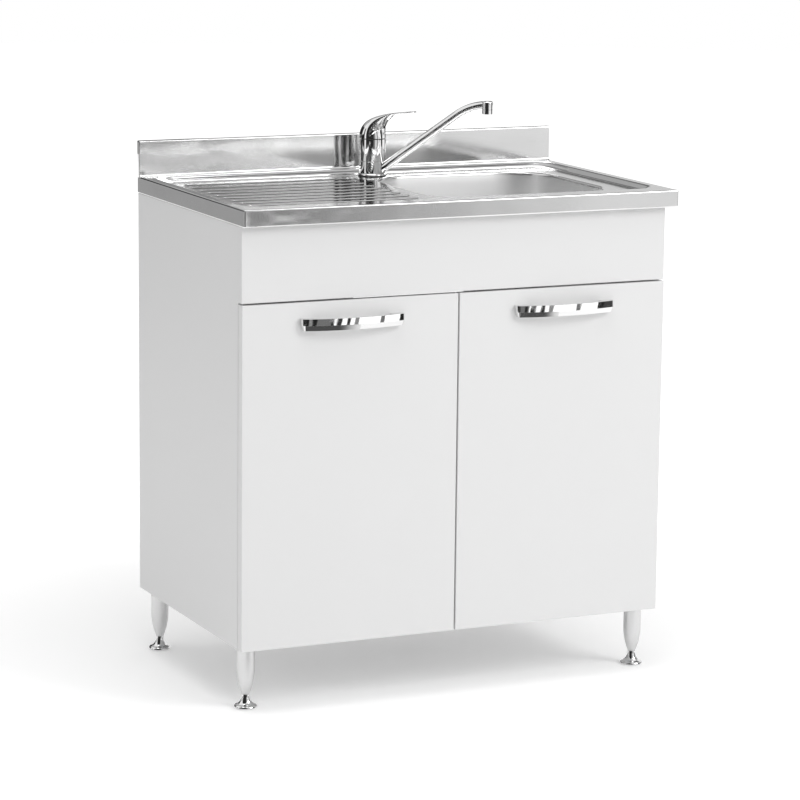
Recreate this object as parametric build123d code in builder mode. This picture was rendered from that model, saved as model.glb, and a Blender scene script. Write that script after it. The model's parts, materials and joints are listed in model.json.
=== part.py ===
"""Kitchen sink unit: two-door base cabinet on turned legs, pressed sit-on sink and single-lever mixer tap.

Millimetres. +X is to the right seen from the front, the doors face -Y, +Z is up.
The origin is on the floor, under the middle of the unit's overall width and depth.
"""

import os
from math import cos, radians, sin, sqrt

from build123d import *

os.makedirs("parts", exist_ok=True)

# ---------------------------------------------------------------- sink top
sink_width = 800.0
sink_depth = 500.0
worktop_height = 850.0
steel = 1.0
rim_height = 30.0
rim_hem = 12.0
upstand_height = 62.0
upstand_thickness = 13.0
upstand_foot_radius = 2.5
edge_search = 0.1
front_rim = 40.0
side_rim = 16.0
rear_rim = 9.0
tray_corner = 36.0
step_drop = 8.0
step_run = 14.0

bowl_width = 332.0
bowl_length = 330.0
bowl_corner = 80.0
bowl_drop = 150.0
bowl_draft = 3.0
bowl_foot_radius = 30.0
bowl_lip_radius = 5.0
bowl_weld_below_lip = 1.0
bowl_from_right_step = 44.0
bowl_from_front_step = 26.0

rib_count = 9
rib_pitch = 36.8
rib_from_bowl = 34.0
rib_width = 11.0
rib_height = 2.5
rib_slope = 40.0
rib_from_left_step = 22.0

tap_from_bowl_left = 24.5
tap_from_rear_step = 33.0
tap_hole_radius = 17.5

drain_hole_radius = 45.0

# ---------------------------------------------------------------- cabinet
cabinet_left_inset = 1.0
cabinet_right_inset = 18.0
board = 16.0
rim_overhang = 12.0
door_gap = 2.0
front_edge_round = 0.8
carcass_rear_inset = 2.0
leg_height = 112.0
fascia_height = 125.0
reveal = 3.0
rail_height = 80.0
back_board = 3.0
back_inset = 18.0
groove_depth = 8.0
groove_clearance = 0.1
service_width = 320.0
service_height = 260.0
service_corner = 20.0
service_above_bottom = 252.0
service_from_right = 46.0

batten_reach = 25.0
batten_length = 420.0
batten_clearance = 0.5
bracket_from_batten_end = 70.0

dowel_radius = 4.0
dowel_length = 30.0
dowel_in_side = 10.0
dowel_from_edge = 50.0
dowel_below_top = 20.0
cam_radius = 7.5
cam_thickness = 12.0
cam_setback = 34.0
cam_from_edge = 105.0
cam_below_top = 56.0
cam_slot_width = 1.6
cam_slot_length = 9.0
cam_slot_depth = 1.5
bolt_radius = 3.0
bolt_in_side = 10.0
bore_clearance = 0.1

screw_radius = 2.0
screw_length = 14.0
screw_head_radius = 4.0
screw_head_height = 1.6
screw_from_edge = 7.0
bracket_leg = 22.0
bracket_width = 16.0
bracket_sheet = 2.0
bracket_clearance = 0.2
bracket_hole_from_corner = 13.2
screw_sides = 8

# ---------------------------------------------------------------- legs
leg_radius = 15.5
leg_neck_radius = 6.7
leg_wall = 5.0
boss_length = 12.0
boss_clearance = 0.1
leg_belly_height = 69.0
leg_neck_height = 24.0
leg_left_inset = 31.0
leg_right_inset = 14.0
leg_front_inset = 40.0
leg_rear_inset = 18.0
leg_plate_size = 56.0
leg_plate_sheet = 3.0
leg_plate_outer = 13.0
leg_plate_corner = 5.0
foot_radius = 20.0
foot_rim_height = 6.0
foot_rim_low_radius = 2.5
foot_rim_inset = 3.0
foot_shoulder_inset = 0.8
foot_shoulder_height = 4.4
foot_stop_gap = 0.4
leg_taper_lean = 0.42
foot_flare_rise = 0.3
foot_flare_lean = 0.15
stud_radius = 4.0
stud_clearance = 0.05
stud_height = 60.0
stud_end_gap = 4.0

# ---------------------------------------------------------------- doors and handles
handle_length = 186.0
handle_height = 20.0
handle_reach = 26.0
handle_end_reach = 12.0
handle_wall = 5.5
handle_post = 24.0
handle_spacing = 160.0
handle_below_top = 36.0
handle_facet_height = 9.0
handle_facet_depth = 4.0
handle_end_radius = 8.0
handle_screw_radius = 2.0
handle_screw_grip = 6.0
handle_bore_spare = 1.0

cup_radius = 17.5
cup_depth = 12.6
cup_wall = 1.2
cup_from_edge = 22.5
cup_flange = 1.2
cup_flange_radius = 20.0
cup_flange_length = 60.0
cup_flange_width = 16.0
cup_flange_corner = 3.0
hinge_from_end = 90.0
arm_width = 14.0
arm_height = 11.0
arm_from_side = 4.5
arm_reach_in_cup = 6.0
arm_length = 68.0
arm_wall = 1.5
arm_nose_length = 8.0
plate_sheet = 2.0
plate_length = 40.0
plate_height = 46.0
plate_wing_width = 20.0
plate_corner = 4.0
plate_setback = 37.0
plate_rib_height = 9.0

# ---------------------------------------------------------------- drain and trap
strainer_flange_radius = 57.0
strainer_throat_radius = 43.0
strainer_depth = 30.0
strainer_sheet = 1.5
strainer_corner = 4.0
strainer_hub_radius = 13.0
strainer_hub_bore = 3.2
strainer_slots = 8
strainer_slot_width = 8.0
strainer_screw_head = 6.0
strainer_screw_rise = 2.5
screw_shank_radius = 2.5
basket_clearance = 0.5
basket_depth = 24.0
basket_seat = 3.0
basket_rim = 4.0
basket_floor_inset = 12.0
basket_knee_inset = 4.0
basket_knee_rise = 8.0
basket_hole_radius = 2.2
basket_hole_rings = ((12.0, 8), (21.0, 14))
basket_knob_radius = 8.0
basket_knob_height = 7.0
basket_knob_round = 2.0
basket_knob_stem = 10.5
basket_knob_stem_radius = 3.0
gasket_thickness = 2.0
shell_clearance = 1.0
shell_depth = 34.0
shell_flange = 4.0
shell_cone_height = 14.0
shell_wall = 3.0
bridge_gap = 1.0
bridge_height = 4.0
bridge_width = 4.0
bridge_hub_radius = 6.0
bridge_hub_height = 14.0
tail_radius = 20.0
tail_wall = 2.0
tail_length = 62.0
tail_in_socket = 40.0
trap_radius = 34.0
trap_wall = 3.0
trap_height = 70.0
trap_shoulder = 6.0
socket_clearance = 0.3
socket_height = 34.0
dip_above_cup = 22.0
cup_height = 62.0
cup_overlap = 16.0
cup_corner = 8.0
trap_nut_radius = 27.0
trap_nut_sides = 12
trap_nut_height = 18.0
nut_lip = 3.0
outlet_above_cup = 46.0
outlet_seat = 4.0
outlet_collar_from_nut = 8.0
outlet_collar_width = 3.0
outlet_collar_rise = 2.0
trap_stub_length = 26.0

# ---------------------------------------------------------------- tap
tap_radius = 23.5
tap_base_radius = 26.0
tap_gasket = 1.5
tap_gasket_inset = 1.0
tap_base_edge = 2.0
tap_edge = 0.5
core_below_deck = 1.0
tap_base_height = 5.0
collar_gap = 0.3
collar_top = 26.3
tap_core_radius = 17.0
spout_running_clearance = 0.08
tap_wall = 3.0
spout_direction = -52.0
spout_radius = 8.3
spout_end_radius = 6.8
spout_bore = 5.0
spout_root_inset = 4.0
spout_root_height = 15.0
spout_slope = 35.2
spout_straight = 177.5
spout_bend_radius = 111.0
spout_end_slope = 2.0
nozzle_radius = 9.8
nozzle_drop = 1.2
nozzle_rise = 7.0
nozzle_round = 4.0
nozzle_wall = 2.0
aerator_height = 7.5
aerator_bore = 8.0
aerator_recess = 2.5
aerator_hole_radius = 1.2
aerator_hole_ring = 5.0
aerator_holes = 8
lever_direction = spout_direction
lever_pivot_rise = 6.0
lever_floor = 67.0
lever_gap = 0.35
lever_wall = 3.0
lever_skirt = 4.0
lever_crown = (-7.0, 98.5)
lever_shoulder = (31.0, 112.0)
lever_throat = (40.5, 108.0)
lever_chin_height = 88.0
lever_reach = 86.0
lever_tip_height = 119.5
lever_tip_thickness = 3.6
lever_tip_width = 20.0
lever_crown_lean = 1.6
lever_tip_rise = 0.14
lever_chin_lean = 0.25
cartridge_radius = 17.5
cartridge_floor = 30.0
cartridge_height = 19.5
cartridge_nut_height = 4.5
nut_notches = 6
nut_notch = 4.0
turret_radius = 11.0
turret_clearance = 0.3
turret_above_pivot = 4.0
slot_below_stem = 2.0
pin_inset = 1.0
stem_width = 8.0
stem_clearance = 0.2
pin_radius = 1.5
pin_clearance = 0.05
stem_below_pivot = 11.0
stem_above_pivot = 16.0
stem_boss_above_pivot = 9.0
stem_boss_height = 10.0
inlet_radius = 5.0
inlet_spacing = 18.0
inlet_setback = 5.0
inlet_depth = 14.0
tap_stud_radius = 4.0
tap_stud_length = 62.0
tap_stud_back = 9.0
washer_radius = 24.0
washer_thickness = 3.0
washer_slot_width = 32.0
washer_slot_depth = 30.0
nut_across_flats = 13.0
nut_height = 8.0
grub_radius = 2.5
grub_clearance = 0.05
grub_start = 4.2
grub_length = 9.0

# ---------------------------------------------------------------- derived places
handle_past_rim = handle_reach - rim_overhang
rim_rear = (sink_depth + handle_past_rim) / 2
rim_front = rim_rear - sink_depth
rim_left = -sink_width / 2
rim_right = sink_width / 2
rim_bottom = worktop_height - rim_height
tray_z = worktop_height - step_drop

door_front = rim_front + rim_overhang
door_rear = door_front + board
carcass_front = door_rear + door_gap
carcass_rear = rim_rear - carcass_rear_inset
carcass_left = rim_left + cabinet_left_inset
carcass_right = rim_right - cabinet_right_inset
cabinet_width = carcass_right - carcass_left
carcass_middle = (carcass_left + carcass_right) / 2
inner_left = carcass_left + board
inner_right = carcass_right - board
carcass_top = rim_bottom
back_front = carcass_rear - back_inset - back_board
door_top = carcass_top - fascia_height - reveal
door_height = door_top - leg_height
door_width = (cabinet_width - reveal) / 2

step_left = rim_left + side_rim
step_right = rim_right - side_rim
step_front = rim_front + front_rim
step_rear = rim_rear - upstand_thickness - rear_rim
step_middle = (step_front + step_rear) / 2
tray_left = step_left + step_run
tray_right = step_right - step_run
tray_front = step_front + step_run
tray_rear = step_rear - step_run
bowl_x = tray_right - bowl_from_right_step - bowl_width / 2
bowl_y = tray_front + bowl_from_front_step + bowl_length / 2
bowl_floor = tray_z - bowl_drop
bowl_left = bowl_x - bowl_width / 2
bowl_weld = tray_z - bowl_lip_radius - bowl_weld_below_lip
rib_left = tray_left + rib_from_left_step
rib_length = bowl_left - rib_from_bowl - rib_left
tap_x = bowl_left + tap_from_bowl_left
tap_y = tray_rear - tap_from_rear_step
handle_z = door_top - handle_below_top
hinge_heights = (leg_height + hinge_from_end, door_top - hinge_from_end)
service_x = inner_right - service_from_right - service_width / 2


def save(piece, name):
    """Label a finished piece and write its STEP file."""
    piece.part.label = name
    export_step(piece.part, f"parts/{name}.step")


def plane_at(x, y, z, normal, across=None):
    """A plane with its origin at a point and the given normal."""
    return Plane(origin=(x, y, z), x_dir=across, z_dir=normal)


# ================================================================ sink top
def rounded_pan(top_width, top_length, corner, drop, draft, foot, centre, top):
    """The solid that fills a drafted pan with rounded corners and a rounded foot."""
    with BuildPart() as pan:
        with BuildSketch(Plane.XY.offset(top)):
            with Locations(centre):
                RectangleRounded(top_width, top_length, corner)
        extrude(amount=-drop, taper=draft)
        foot_edges = pan.faces().sort_by(Axis.Z)[0].edges()
        fillet(foot_edges, radius=foot)
    return pan.part


def step_pan(inset, top, bottom):
    """The solid that fills the stepped tray, down from the rim to the field."""
    with BuildPart() as pan:
        with BuildSketch(Plane.XY.offset(top)):
            with Locations((0, step_middle)):
                RectangleRounded(
                    step_right - step_left + 2 * inset,
                    step_rear - step_front + 2 * inset,
                    tray_corner + inset,
                )
        with BuildSketch(Plane.XY.offset(bottom)):
            with Locations((0, step_middle)):
                RectangleRounded(
                    tray_right - tray_left + 2 * inset,
                    tray_rear - tray_front + 2 * inset,
                    tray_corner - step_run / 2 + inset,
                )
        loft()
    return pan.part


bowl_centre = (bowl_x, bowl_y)
bowl_outside = rounded_pan(
    bowl_width + 2 * steel,
    bowl_length + 2 * steel,
    bowl_corner + steel,
    bowl_drop,
    bowl_draft,
    bowl_foot_radius + steel,
    bowl_centre,
    tray_z - steel,
)
bowl_inside = rounded_pan(
    bowl_width, bowl_length, bowl_corner, bowl_drop, bowl_draft, bowl_foot_radius, bowl_centre, tray_z
)
tray_outside = step_pan(steel, worktop_height, tray_z - steel)
tray_inside = step_pan(0, worktop_height, tray_z)

with BuildPart() as sink_top:
    with BuildSketch(Plane.XY.offset(rim_bottom)):
        with Locations((0, (rim_front + rim_rear) / 2)):
            Rectangle(sink_width, sink_depth)
    extrude(amount=rim_height)
    with BuildSketch(Plane.XY.offset(worktop_height)):
        with Locations((0, rim_rear - upstand_thickness / 2)):
            Rectangle(sink_width, upstand_thickness)
    extrude(amount=upstand_height)
    upstand_foot = (
        sink_top.edges()
        .filter_by(Axis.X)
        .filter_by_position(Axis.Z, worktop_height - edge_search, worktop_height + edge_search)
        .sort_by(Axis.Y)[-1]
    )
    fillet(upstand_foot, radius=upstand_foot_radius)
    with BuildSketch(Plane.XY.offset(rim_bottom + steel)):
        with Locations((0, (rim_front + rim_rear) / 2)):
            Rectangle(sink_width - 2 * steel, sink_depth - 2 * steel)
    extrude(amount=rim_height - 2 * steel, mode=Mode.SUBTRACT)
    with BuildSketch(Plane.XY.offset(rim_bottom)):
        with Locations((0, (rim_front + rim_rear) / 2)):
            Rectangle(sink_width - 2 * rim_hem, sink_depth - 2 * rim_hem)
    extrude(amount=steel, mode=Mode.SUBTRACT)
    with BuildSketch(Plane.XY.offset(worktop_height - steel)):
        with Locations((0, rim_rear - upstand_thickness / 2)):
            Rectangle(sink_width - 2 * steel, upstand_thickness - 2 * steel)
    extrude(amount=upstand_height, mode=Mode.SUBTRACT)
    add(tray_outside)
    add(bowl_outside)
    add(tray_inside, mode=Mode.SUBTRACT)
    add(bowl_inside, mode=Mode.SUBTRACT)
    for lip_z, lip_radius in ((tray_z, bowl_lip_radius), (tray_z - steel, bowl_lip_radius - steel)):
        lip_level = sink_top.edges().filter_by_position(Axis.Z, lip_z - edge_search, lip_z + edge_search)
        lip_edges = lip_level.filter_by_position(
            Axis.X, bowl_left - 2 * steel, bowl_left + bowl_width + 2 * steel
        )
        fillet(lip_edges, radius=lip_radius)
    with BuildSketch(Plane.XY.offset(bowl_weld)):
        with Locations(bowl_centre):
            Rectangle(bowl_width + 4 * steel, bowl_length + 4 * steel)
    extrude(amount=-bowl_drop, mode=Mode.SUBTRACT)
    with BuildSketch(Plane.XY.offset(tray_z)):
        with Locations((rib_left + rib_length / 2, step_middle)):
            with GridLocations(0, rib_pitch, 1, rib_count):
                SlotOverall(rib_length, rib_width)
    extrude(amount=rib_height, taper=rib_slope)
    with Locations((tap_x, tap_y, tray_z)):
        Hole(radius=tap_hole_radius, depth=2 * steel)
save(sink_top, "sink_top")

# The drawn bowl is welded in under the lip.
with BuildPart() as sink_bowl:
    add(bowl_outside)
    add(bowl_inside, mode=Mode.SUBTRACT)
    split(bisect_by=Plane.XY.offset(bowl_weld), keep=Keep.BOTTOM)
    with Locations((bowl_x, bowl_y, bowl_floor + steel)):
        Hole(radius=drain_hole_radius, depth=4 * steel)
save(sink_bowl, "sink_bowl")


# ================================================================ carcass
def carcass_x(side, inward):
    """X at a distance inward from the carcass's left (side -1) or right (side 1) face."""
    return carcass_left + inward if side < 0 else carcass_right - inward


floor_middle = leg_height + board / 2
floor_dowel_rows = (carcass_front + dowel_from_edge, back_front - dowel_from_edge)
floor_cam_rows = (carcass_front + cam_from_edge, back_front - cam_from_edge)
front_rail_y = carcass_front + board / 2
rear_rail_y = back_front - board / 2
rail_dowel_z = carcass_top - dowel_below_top
rail_cam_z = carcass_top - cam_below_top

# Each end of the bottom panel and of the two rails: (y, z) of its dowels and of its cam bolts.
dowel_spots = [(y, floor_middle) for y in floor_dowel_rows]
dowel_spots += [(front_rail_y, rail_dowel_z), (rear_rail_y, rail_dowel_z)]
bolt_spots = [(y, floor_middle) for y in floor_cam_rows]
bolt_spots += [(front_rail_y, rail_cam_z), (rear_rail_y, rail_cam_z)]


def cross_bores(spots, radius, in_side, in_board):
    """Rods across both side joints of the carcass, as a tool for bores and for what fills them."""
    with BuildPart() as rods:
        for side in (-1, 1):
            start = carcass_x(side, board - in_side)
            with BuildSketch(plane_at(start, 0, 0, (-side, 0, 0), across=(0, 1, 0))) as ends:
                sign = ends.workplanes[0].y_dir.Z
                for y, z in spots:
                    with Locations((y, sign * z)):
                        Circle(radius)
            extrude(amount=in_side + in_board)
    return rods.part


bolt_in_board = cam_setback - cam_radius
dowel_bores = cross_bores(dowel_spots, dowel_radius, dowel_in_side, dowel_length - dowel_in_side)
bolt_bores = cross_bores(bolt_spots, bolt_radius + bore_clearance, bolt_in_side, bolt_in_board + cam_radius)
carcass_mid_y = (carcass_front + carcass_rear) / 2
carcass_depth = carcass_rear - carcass_front

for side, side_name in ((-1, "left"), (1, "right")):
    with BuildPart() as side_panel:
        with BuildSketch(Plane.XY.offset(leg_height)):
            with Locations((carcass_x(side, board / 2), carcass_mid_y)):
                Rectangle(board, carcass_depth)
            with Locations((carcass_x(side, board - groove_depth / 2), back_front + back_board / 2)):
                Rectangle(groove_depth, back_board + 2 * groove_clearance, mode=Mode.SUBTRACT)
        extrude(amount=carcass_top - leg_height)
        add(dowel_bores, mode=Mode.SUBTRACT)
        add(bolt_bores, mode=Mode.SUBTRACT)
    save(side_panel, f"{side_name}_side_panel")

with BuildPart() as bottom_panel:
    with BuildSketch(Plane.XY.offset(leg_height)):
        with Locations((carcass_middle, (carcass_front + back_front) / 2)):
            Rectangle(inner_right - inner_left, back_front - carcass_front)
    extrude(amount=board)
    add(dowel_bores, mode=Mode.SUBTRACT)
    add(bolt_bores, mode=Mode.SUBTRACT)
    with BuildSketch(Plane.XY.offset(leg_height)):
        for side in (-1, 1):
            for y in floor_cam_rows:
                with Locations((carcass_x(side, board + cam_setback), y)):
                    Circle(cam_radius + bore_clearance)
    extrude(amount=cam_thickness, mode=Mode.SUBTRACT)
save(bottom_panel, "bottom_panel")

rails = (("front_rail", front_rail_y, 1), ("rear_rail", rear_rail_y, -1))
for rail_name, rail_y, cam_face in rails:
    with BuildPart() as rail:
        with BuildSketch(Plane.XY.offset(carcass_top - rail_height)):
            with Locations((carcass_middle, rail_y)):
                Rectangle(inner_right - inner_left, board)
        extrude(amount=rail_height)
        add(dowel_bores, mode=Mode.SUBTRACT)
        add(bolt_bores, mode=Mode.SUBTRACT)
        for side in (-1, 1):
            centre_x = carcass_x(side, board + cam_setback)
            face_y = rail_y + cam_face * board / 2
            with Locations(plane_at(centre_x, face_y, rail_cam_z, (0, cam_face, 0))):
                Hole(radius=cam_radius + bore_clearance, depth=cam_thickness)
    save(rail, rail_name)

with BuildPart() as back_panel:
    with BuildSketch(Plane.XZ.offset(-back_front)):
        with Locations((carcass_middle, (leg_height + carcass_top) / 2)):
            Rectangle(
                inner_right - inner_left + 2 * (groove_depth - groove_clearance),
                carcass_top - leg_height,
            )
        with Locations((service_x, leg_height + service_above_bottom + service_height / 2)):
            RectangleRounded(service_width, service_height, service_corner, mode=Mode.SUBTRACT)
    extrude(amount=-back_board)
save(back_panel, "back_panel")

with BuildPart() as fascia_panel:
    with BuildSketch(Plane.XY.offset(carcass_top - fascia_height)):
        with Locations((carcass_middle, carcass_front - board / 2)):
            Rectangle(cabinet_width, board)
    extrude(amount=fascia_height)
    fascia_front = fascia_panel.faces().sort_by(Axis.Y)[0].edges()
    fillet(fascia_front, radius=front_edge_round)
save(fascia_panel, "fascia_panel")

with BuildPart() as carcass_dowels:
    add(dowel_bores)
save(carcass_dowels, "carcass_dowels")

with BuildPart() as cam_bolts:
    add(cross_bores(bolt_spots, bolt_radius, bolt_in_side, bolt_in_board))
save(cam_bolts, "cam_bolts")


def cam_plane(side, y, z, normal):
    """Where a cam lock's open face lies, normal out of the board."""
    return plane_at(carcass_x(side, board + cam_setback), y, z, normal)


with BuildPart() as cam_locks:
    for side in (-1, 1):
        cam_faces = [cam_plane(side, y, leg_height, (0, 0, -1)) for y in floor_cam_rows]
        cam_faces += [
            cam_plane(side, y + face * board / 2, rail_cam_z, (0, face, 0)) for _, y, face in rails
        ]
        for face_plane in cam_faces:
            with BuildSketch(face_plane):
                Circle(cam_radius)
            extrude(amount=-cam_thickness)
            with BuildSketch(face_plane):
                Rectangle(cam_slot_length, cam_slot_width)
                Rectangle(cam_slot_width, cam_slot_length)
            extrude(amount=-cam_slot_depth, mode=Mode.SUBTRACT)
save(cam_locks, "cam_locks")

with BuildPart() as sink_battens:
    with BuildSketch(Plane.XY.offset(carcass_top)):
        for side in (-1, 1):
            batten_outer = side * (sink_width / 2 - rim_hem - batten_clearance)
            batten_inner = carcass_x(side, board + batten_reach)
            with Locations(((batten_outer + batten_inner) / 2, carcass_mid_y)):
                Rectangle(abs(batten_outer - batten_inner), batten_length)
    extrude(amount=tray_z - steel - batten_clearance - carcass_top)
save(sink_battens, "sink_battens")

# Angle brackets: a plane in the corner, its x and y along the two legs.
bracket_row_offset = batten_length / 2 - bracket_from_batten_end
bracket_rows = (carcass_mid_y - bracket_row_offset, carcass_mid_y + bracket_row_offset)
bracket_fascia_z = carcass_top - rail_height - bracket_width
bracket_planes = []
for side in (-1, 1):
    for y in bracket_rows:
        bracket_planes.append(
            Plane(origin=(carcass_x(side, board), y, carcass_top), x_dir=(-side, 0, 0), z_dir=(0, -side, 0))
        )
    bracket_planes.append(
        Plane(
            origin=(carcass_x(side, board), carcass_front, bracket_fascia_z),
            x_dir=(0, 1, 0),
            z_dir=(0, 0, side),
        )
    )
    bracket_planes.append(
        Plane(
            origin=(carcass_middle + side * door_width / 2, carcass_front, carcass_top - rail_height),
            x_dir=(0, 1, 0),
            z_dir=(-1, 0, 0),
        )
    )

with BuildPart() as angle_brackets:
    for corner in bracket_planes:
        with BuildSketch(corner):
            with Locations((bracket_leg / 2, bracket_sheet / 2)):
                Rectangle(bracket_leg, bracket_sheet)
            with Locations((bracket_sheet / 2, bracket_leg / 2)):
                Rectangle(bracket_sheet, bracket_leg)
        extrude(amount=bracket_width / 2, both=True)

# ================================================================ legs
leg_xs = (carcass_left + leg_left_inset, carcass_right - leg_right_inset)
leg_ys = (carcass_front + leg_front_inset, carcass_rear - leg_rear_inset)
leg_top = leg_height - leg_plate_sheet
boss_radius = leg_radius - leg_wall


with BuildPart() as legs:
    for x in leg_xs:
        for y in leg_ys:
            with BuildSketch(Plane(origin=(x, y, 0), x_dir=(1, 0, 0), z_dir=(0, -1, 0))):
                with BuildLine():
                    top = (leg_radius, leg_top)
                    belly = (leg_radius, leg_belly_height)
                    neck = (leg_neck_radius, leg_neck_height)
                    Line((0, leg_neck_height), neck)
                    taper = Spline(neck, belly, tangents=((leg_taper_lean, 1), (0, 1)))
                    Line(taper @ 1, top)
                    Line(top, (0, leg_top))
                    Line((0, leg_top), (0, leg_neck_height))
                make_face()
            revolve(axis=Axis((x, y, 0), (0, 0, 1)))
            with Locations((x, y, leg_top)):
                Hole(radius=boss_radius + boss_clearance, depth=boss_length + boss_clearance)
            with Locations(plane_at(x, y, leg_neck_height, (0, 0, -1))):
                Hole(radius=stud_radius + stud_clearance, depth=stud_height)
save(legs, "legs")

# The foot's stem stops just below the leg's neck; its stud runs in the leg's bore.
foot_stem = leg_neck_height - foot_stop_gap
foot_stud_top = foot_stem + stud_height - stud_end_gap
foot_rim_low = (foot_radius - foot_rim_low_radius, 0)
foot_rim_side = (foot_radius, foot_rim_low_radius)
foot_rim_shoulder = (foot_radius - foot_shoulder_inset, foot_shoulder_height)
foot_rim_high = (foot_radius - foot_rim_inset, foot_rim_height)
foot_corners = [(x, y) for y in leg_ys for x in leg_xs]
foot_names = ("foot_front_left", "foot_front_right", "foot_rear_left", "foot_rear_right")
for foot_name, (x, y) in zip(foot_names, foot_corners):
    with BuildPart() as foot:
        with BuildSketch(Plane(origin=(x, y, 0), x_dir=(1, 0, 0), z_dir=(0, -1, 0))):
            with BuildLine():
                stem = (leg_neck_radius, foot_stem)
                Line((0, 0), foot_rim_low)
                RadiusArc(foot_rim_low, foot_rim_side, -foot_rim_low_radius)
                ThreePointArc(foot_rim_side, foot_rim_shoulder, foot_rim_high)
                flare = Spline(foot_rim_high, stem, tangents=((-1, foot_flare_rise), (-foot_flare_lean, 1)))
                Line(flare @ 1, (stud_radius, foot_stem))
                Line((stud_radius, foot_stem), (stud_radius, foot_stud_top))
                Line((stud_radius, foot_stud_top), (0, foot_stud_top))
                Line((0, foot_stud_top), (0, 0))
            make_face()
        revolve(axis=Axis((x, y, 0), (0, 0, 1)))
    save(foot, foot_name)

# Each plate reaches further inwards than outwards, so that it stays under the boards.
plate_shift = leg_plate_size / 2 - leg_plate_outer


def inward(place):
    """The sign of the way from a place towards the middle of the unit."""
    return -1 if place > 0 else 1


def plate_centre(x, y):
    """The middle of the mounting plate over the leg at a place."""
    return (x + inward(x) * plate_shift, y + inward(y) * plate_shift)


with BuildPart() as leg_plates:
    for x in leg_xs:
        for y in leg_ys:
            with BuildSketch(Plane.XY.offset(leg_top)):
                with Locations(plate_centre(x, y)):
                    RectangleRounded(leg_plate_size, leg_plate_size, leg_plate_corner)
            extrude(amount=leg_plate_sheet)
            with BuildSketch(Plane.XY.offset(leg_top)):
                with Locations((x, y)):
                    Circle(boss_radius)
            extrude(amount=-boss_length)

# ================================================================ doors
for side, side_name in ((-1, "left"), (1, "right")):
    door_x = carcass_x(side, door_width / 2)
    post_xs = (door_x - handle_spacing / 2, door_x + handle_spacing / 2)
    cup_x = carcass_x(side, cup_from_edge)

    with BuildPart() as door:
        with BuildSketch(Plane.XY.offset(leg_height)):
            with Locations((door_x, door_front + board / 2)):
                Rectangle(door_width, board)
        extrude(amount=door_height)
        fillet(door.faces().sort_by(Axis.Y)[0].edges(), radius=front_edge_round)
        for z in hinge_heights:
            with Locations(plane_at(cup_x, door_rear, z, (0, 1, 0))):
                Hole(radius=cup_radius + bore_clearance, depth=cup_depth)
        for x in post_xs:
            with Locations(plane_at(x, door_rear, handle_z, (0, 1, 0))):
                Hole(radius=handle_screw_radius + bore_clearance, depth=board)
    save(door, f"{side_name}_door")

    with BuildPart() as handle:
        with BuildSketch(Plane.XY.offset(handle_z - handle_height / 2)):
            with BuildLine():
                half = handle_length / 2
                post = half - handle_post
                end_y = door_front - handle_end_reach
                crown_y = door_front - handle_reach
                inner_y = crown_y + handle_wall
                outer = ThreePointArc((door_x - half, end_y), (door_x, crown_y), (door_x + half, end_y))
                Line(outer @ 1, (door_x + half, door_front))
                Line((door_x + half, door_front), (door_x + post, door_front))
                Line((door_x + post, door_front), (door_x + post, end_y))
                inner = ThreePointArc((door_x + post, end_y), (door_x, inner_y), (door_x - post, end_y))
                Line(inner @ 1, (door_x - post, door_front))
                Line((door_x - post, door_front), (door_x - half, door_front))
                Line((door_x - half, door_front), outer @ 0)
            make_face()
        extrude(amount=handle_height)
        upright_edges = handle.edges().filter_by(Axis.Z)
        end_edges = upright_edges.filter_by_position(Axis.Y, end_y - edge_search, end_y + edge_search)
        fillet(end_edges.sort_by(Axis.X)[0::3], radius=handle_end_radius)
        bow_faces = handle.faces().filter_by(GeomType.CYLINDER).sort_by(Axis.Y)
        lower_bow_edge = bow_faces[0].edges().sort_by(Axis.Z)[0]
        chamfer(lower_bow_edge, length=handle_facet_height, length2=handle_facet_depth)
        for x in post_xs:
            with Locations(plane_at(x, door_front, handle_z, (0, 1, 0))):
                Hole(radius=handle_screw_radius, depth=handle_screw_grip + handle_bore_spare)
    save(handle, f"{side_name}_handle")

    with BuildPart() as handle_screws:
        for x in post_xs:
            with BuildSketch(Plane(origin=(x, door_rear, handle_z), x_dir=(1, 0, 0), z_dir=(0, 1, 0))):
                Circle(screw_head_radius)
            extrude(amount=screw_head_height)
            with BuildSketch(Plane(origin=(x, door_rear, handle_z), x_dir=(1, 0, 0), z_dir=(0, 1, 0))):
                Circle(handle_screw_radius)
            extrude(amount=-board - handle_screw_grip)
    save(handle_screws, f"{side_name}_handle_screws")

    with BuildPart() as hinge_cups:
        for z in hinge_heights:
            mouth = Plane(origin=(cup_x, door_rear, z), x_dir=(1, 0, 0), z_dir=(0, 1, 0))
            with BuildSketch(mouth):
                Circle(cup_radius)
            extrude(amount=-cup_depth)
            with BuildSketch(mouth):
                Circle(cup_flange_radius)
                RectangleRounded(cup_flange_width, cup_flange_length, cup_flange_corner)
            extrude(amount=cup_flange)
            with BuildSketch(mouth.offset(cup_flange)):
                Circle(cup_radius - cup_wall)
            extrude(amount=-cup_depth, mode=Mode.SUBTRACT)
    save(hinge_cups, f"{side_name}_hinge_cups")

# Each arm is a channel over its plate's rib, and its nose reaches into the cup.
arm_front = door_rear - arm_reach_in_cup
with BuildPart() as hinge_arms:
    for side in (-1, 1):
        arm_mid = carcass_x(side, board + arm_from_side + arm_height / 2)
        for z in hinge_heights:
            with BuildSketch(Plane.XY.offset(z - arm_width / 2)):
                with Locations((arm_mid, arm_front + arm_length / 2)):
                    Rectangle(arm_height, arm_length)
            extrude(amount=arm_width)
            with BuildSketch(Plane.XY.offset(z - arm_width / 2 + arm_wall)):
                with Locations((arm_mid + side * arm_wall, arm_front + arm_length / 2 + arm_nose_length)):
                    Rectangle(arm_height, arm_length)
            extrude(amount=arm_width - 2 * arm_wall, mode=Mode.SUBTRACT)
save(hinge_arms, "hinge_arms")

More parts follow.
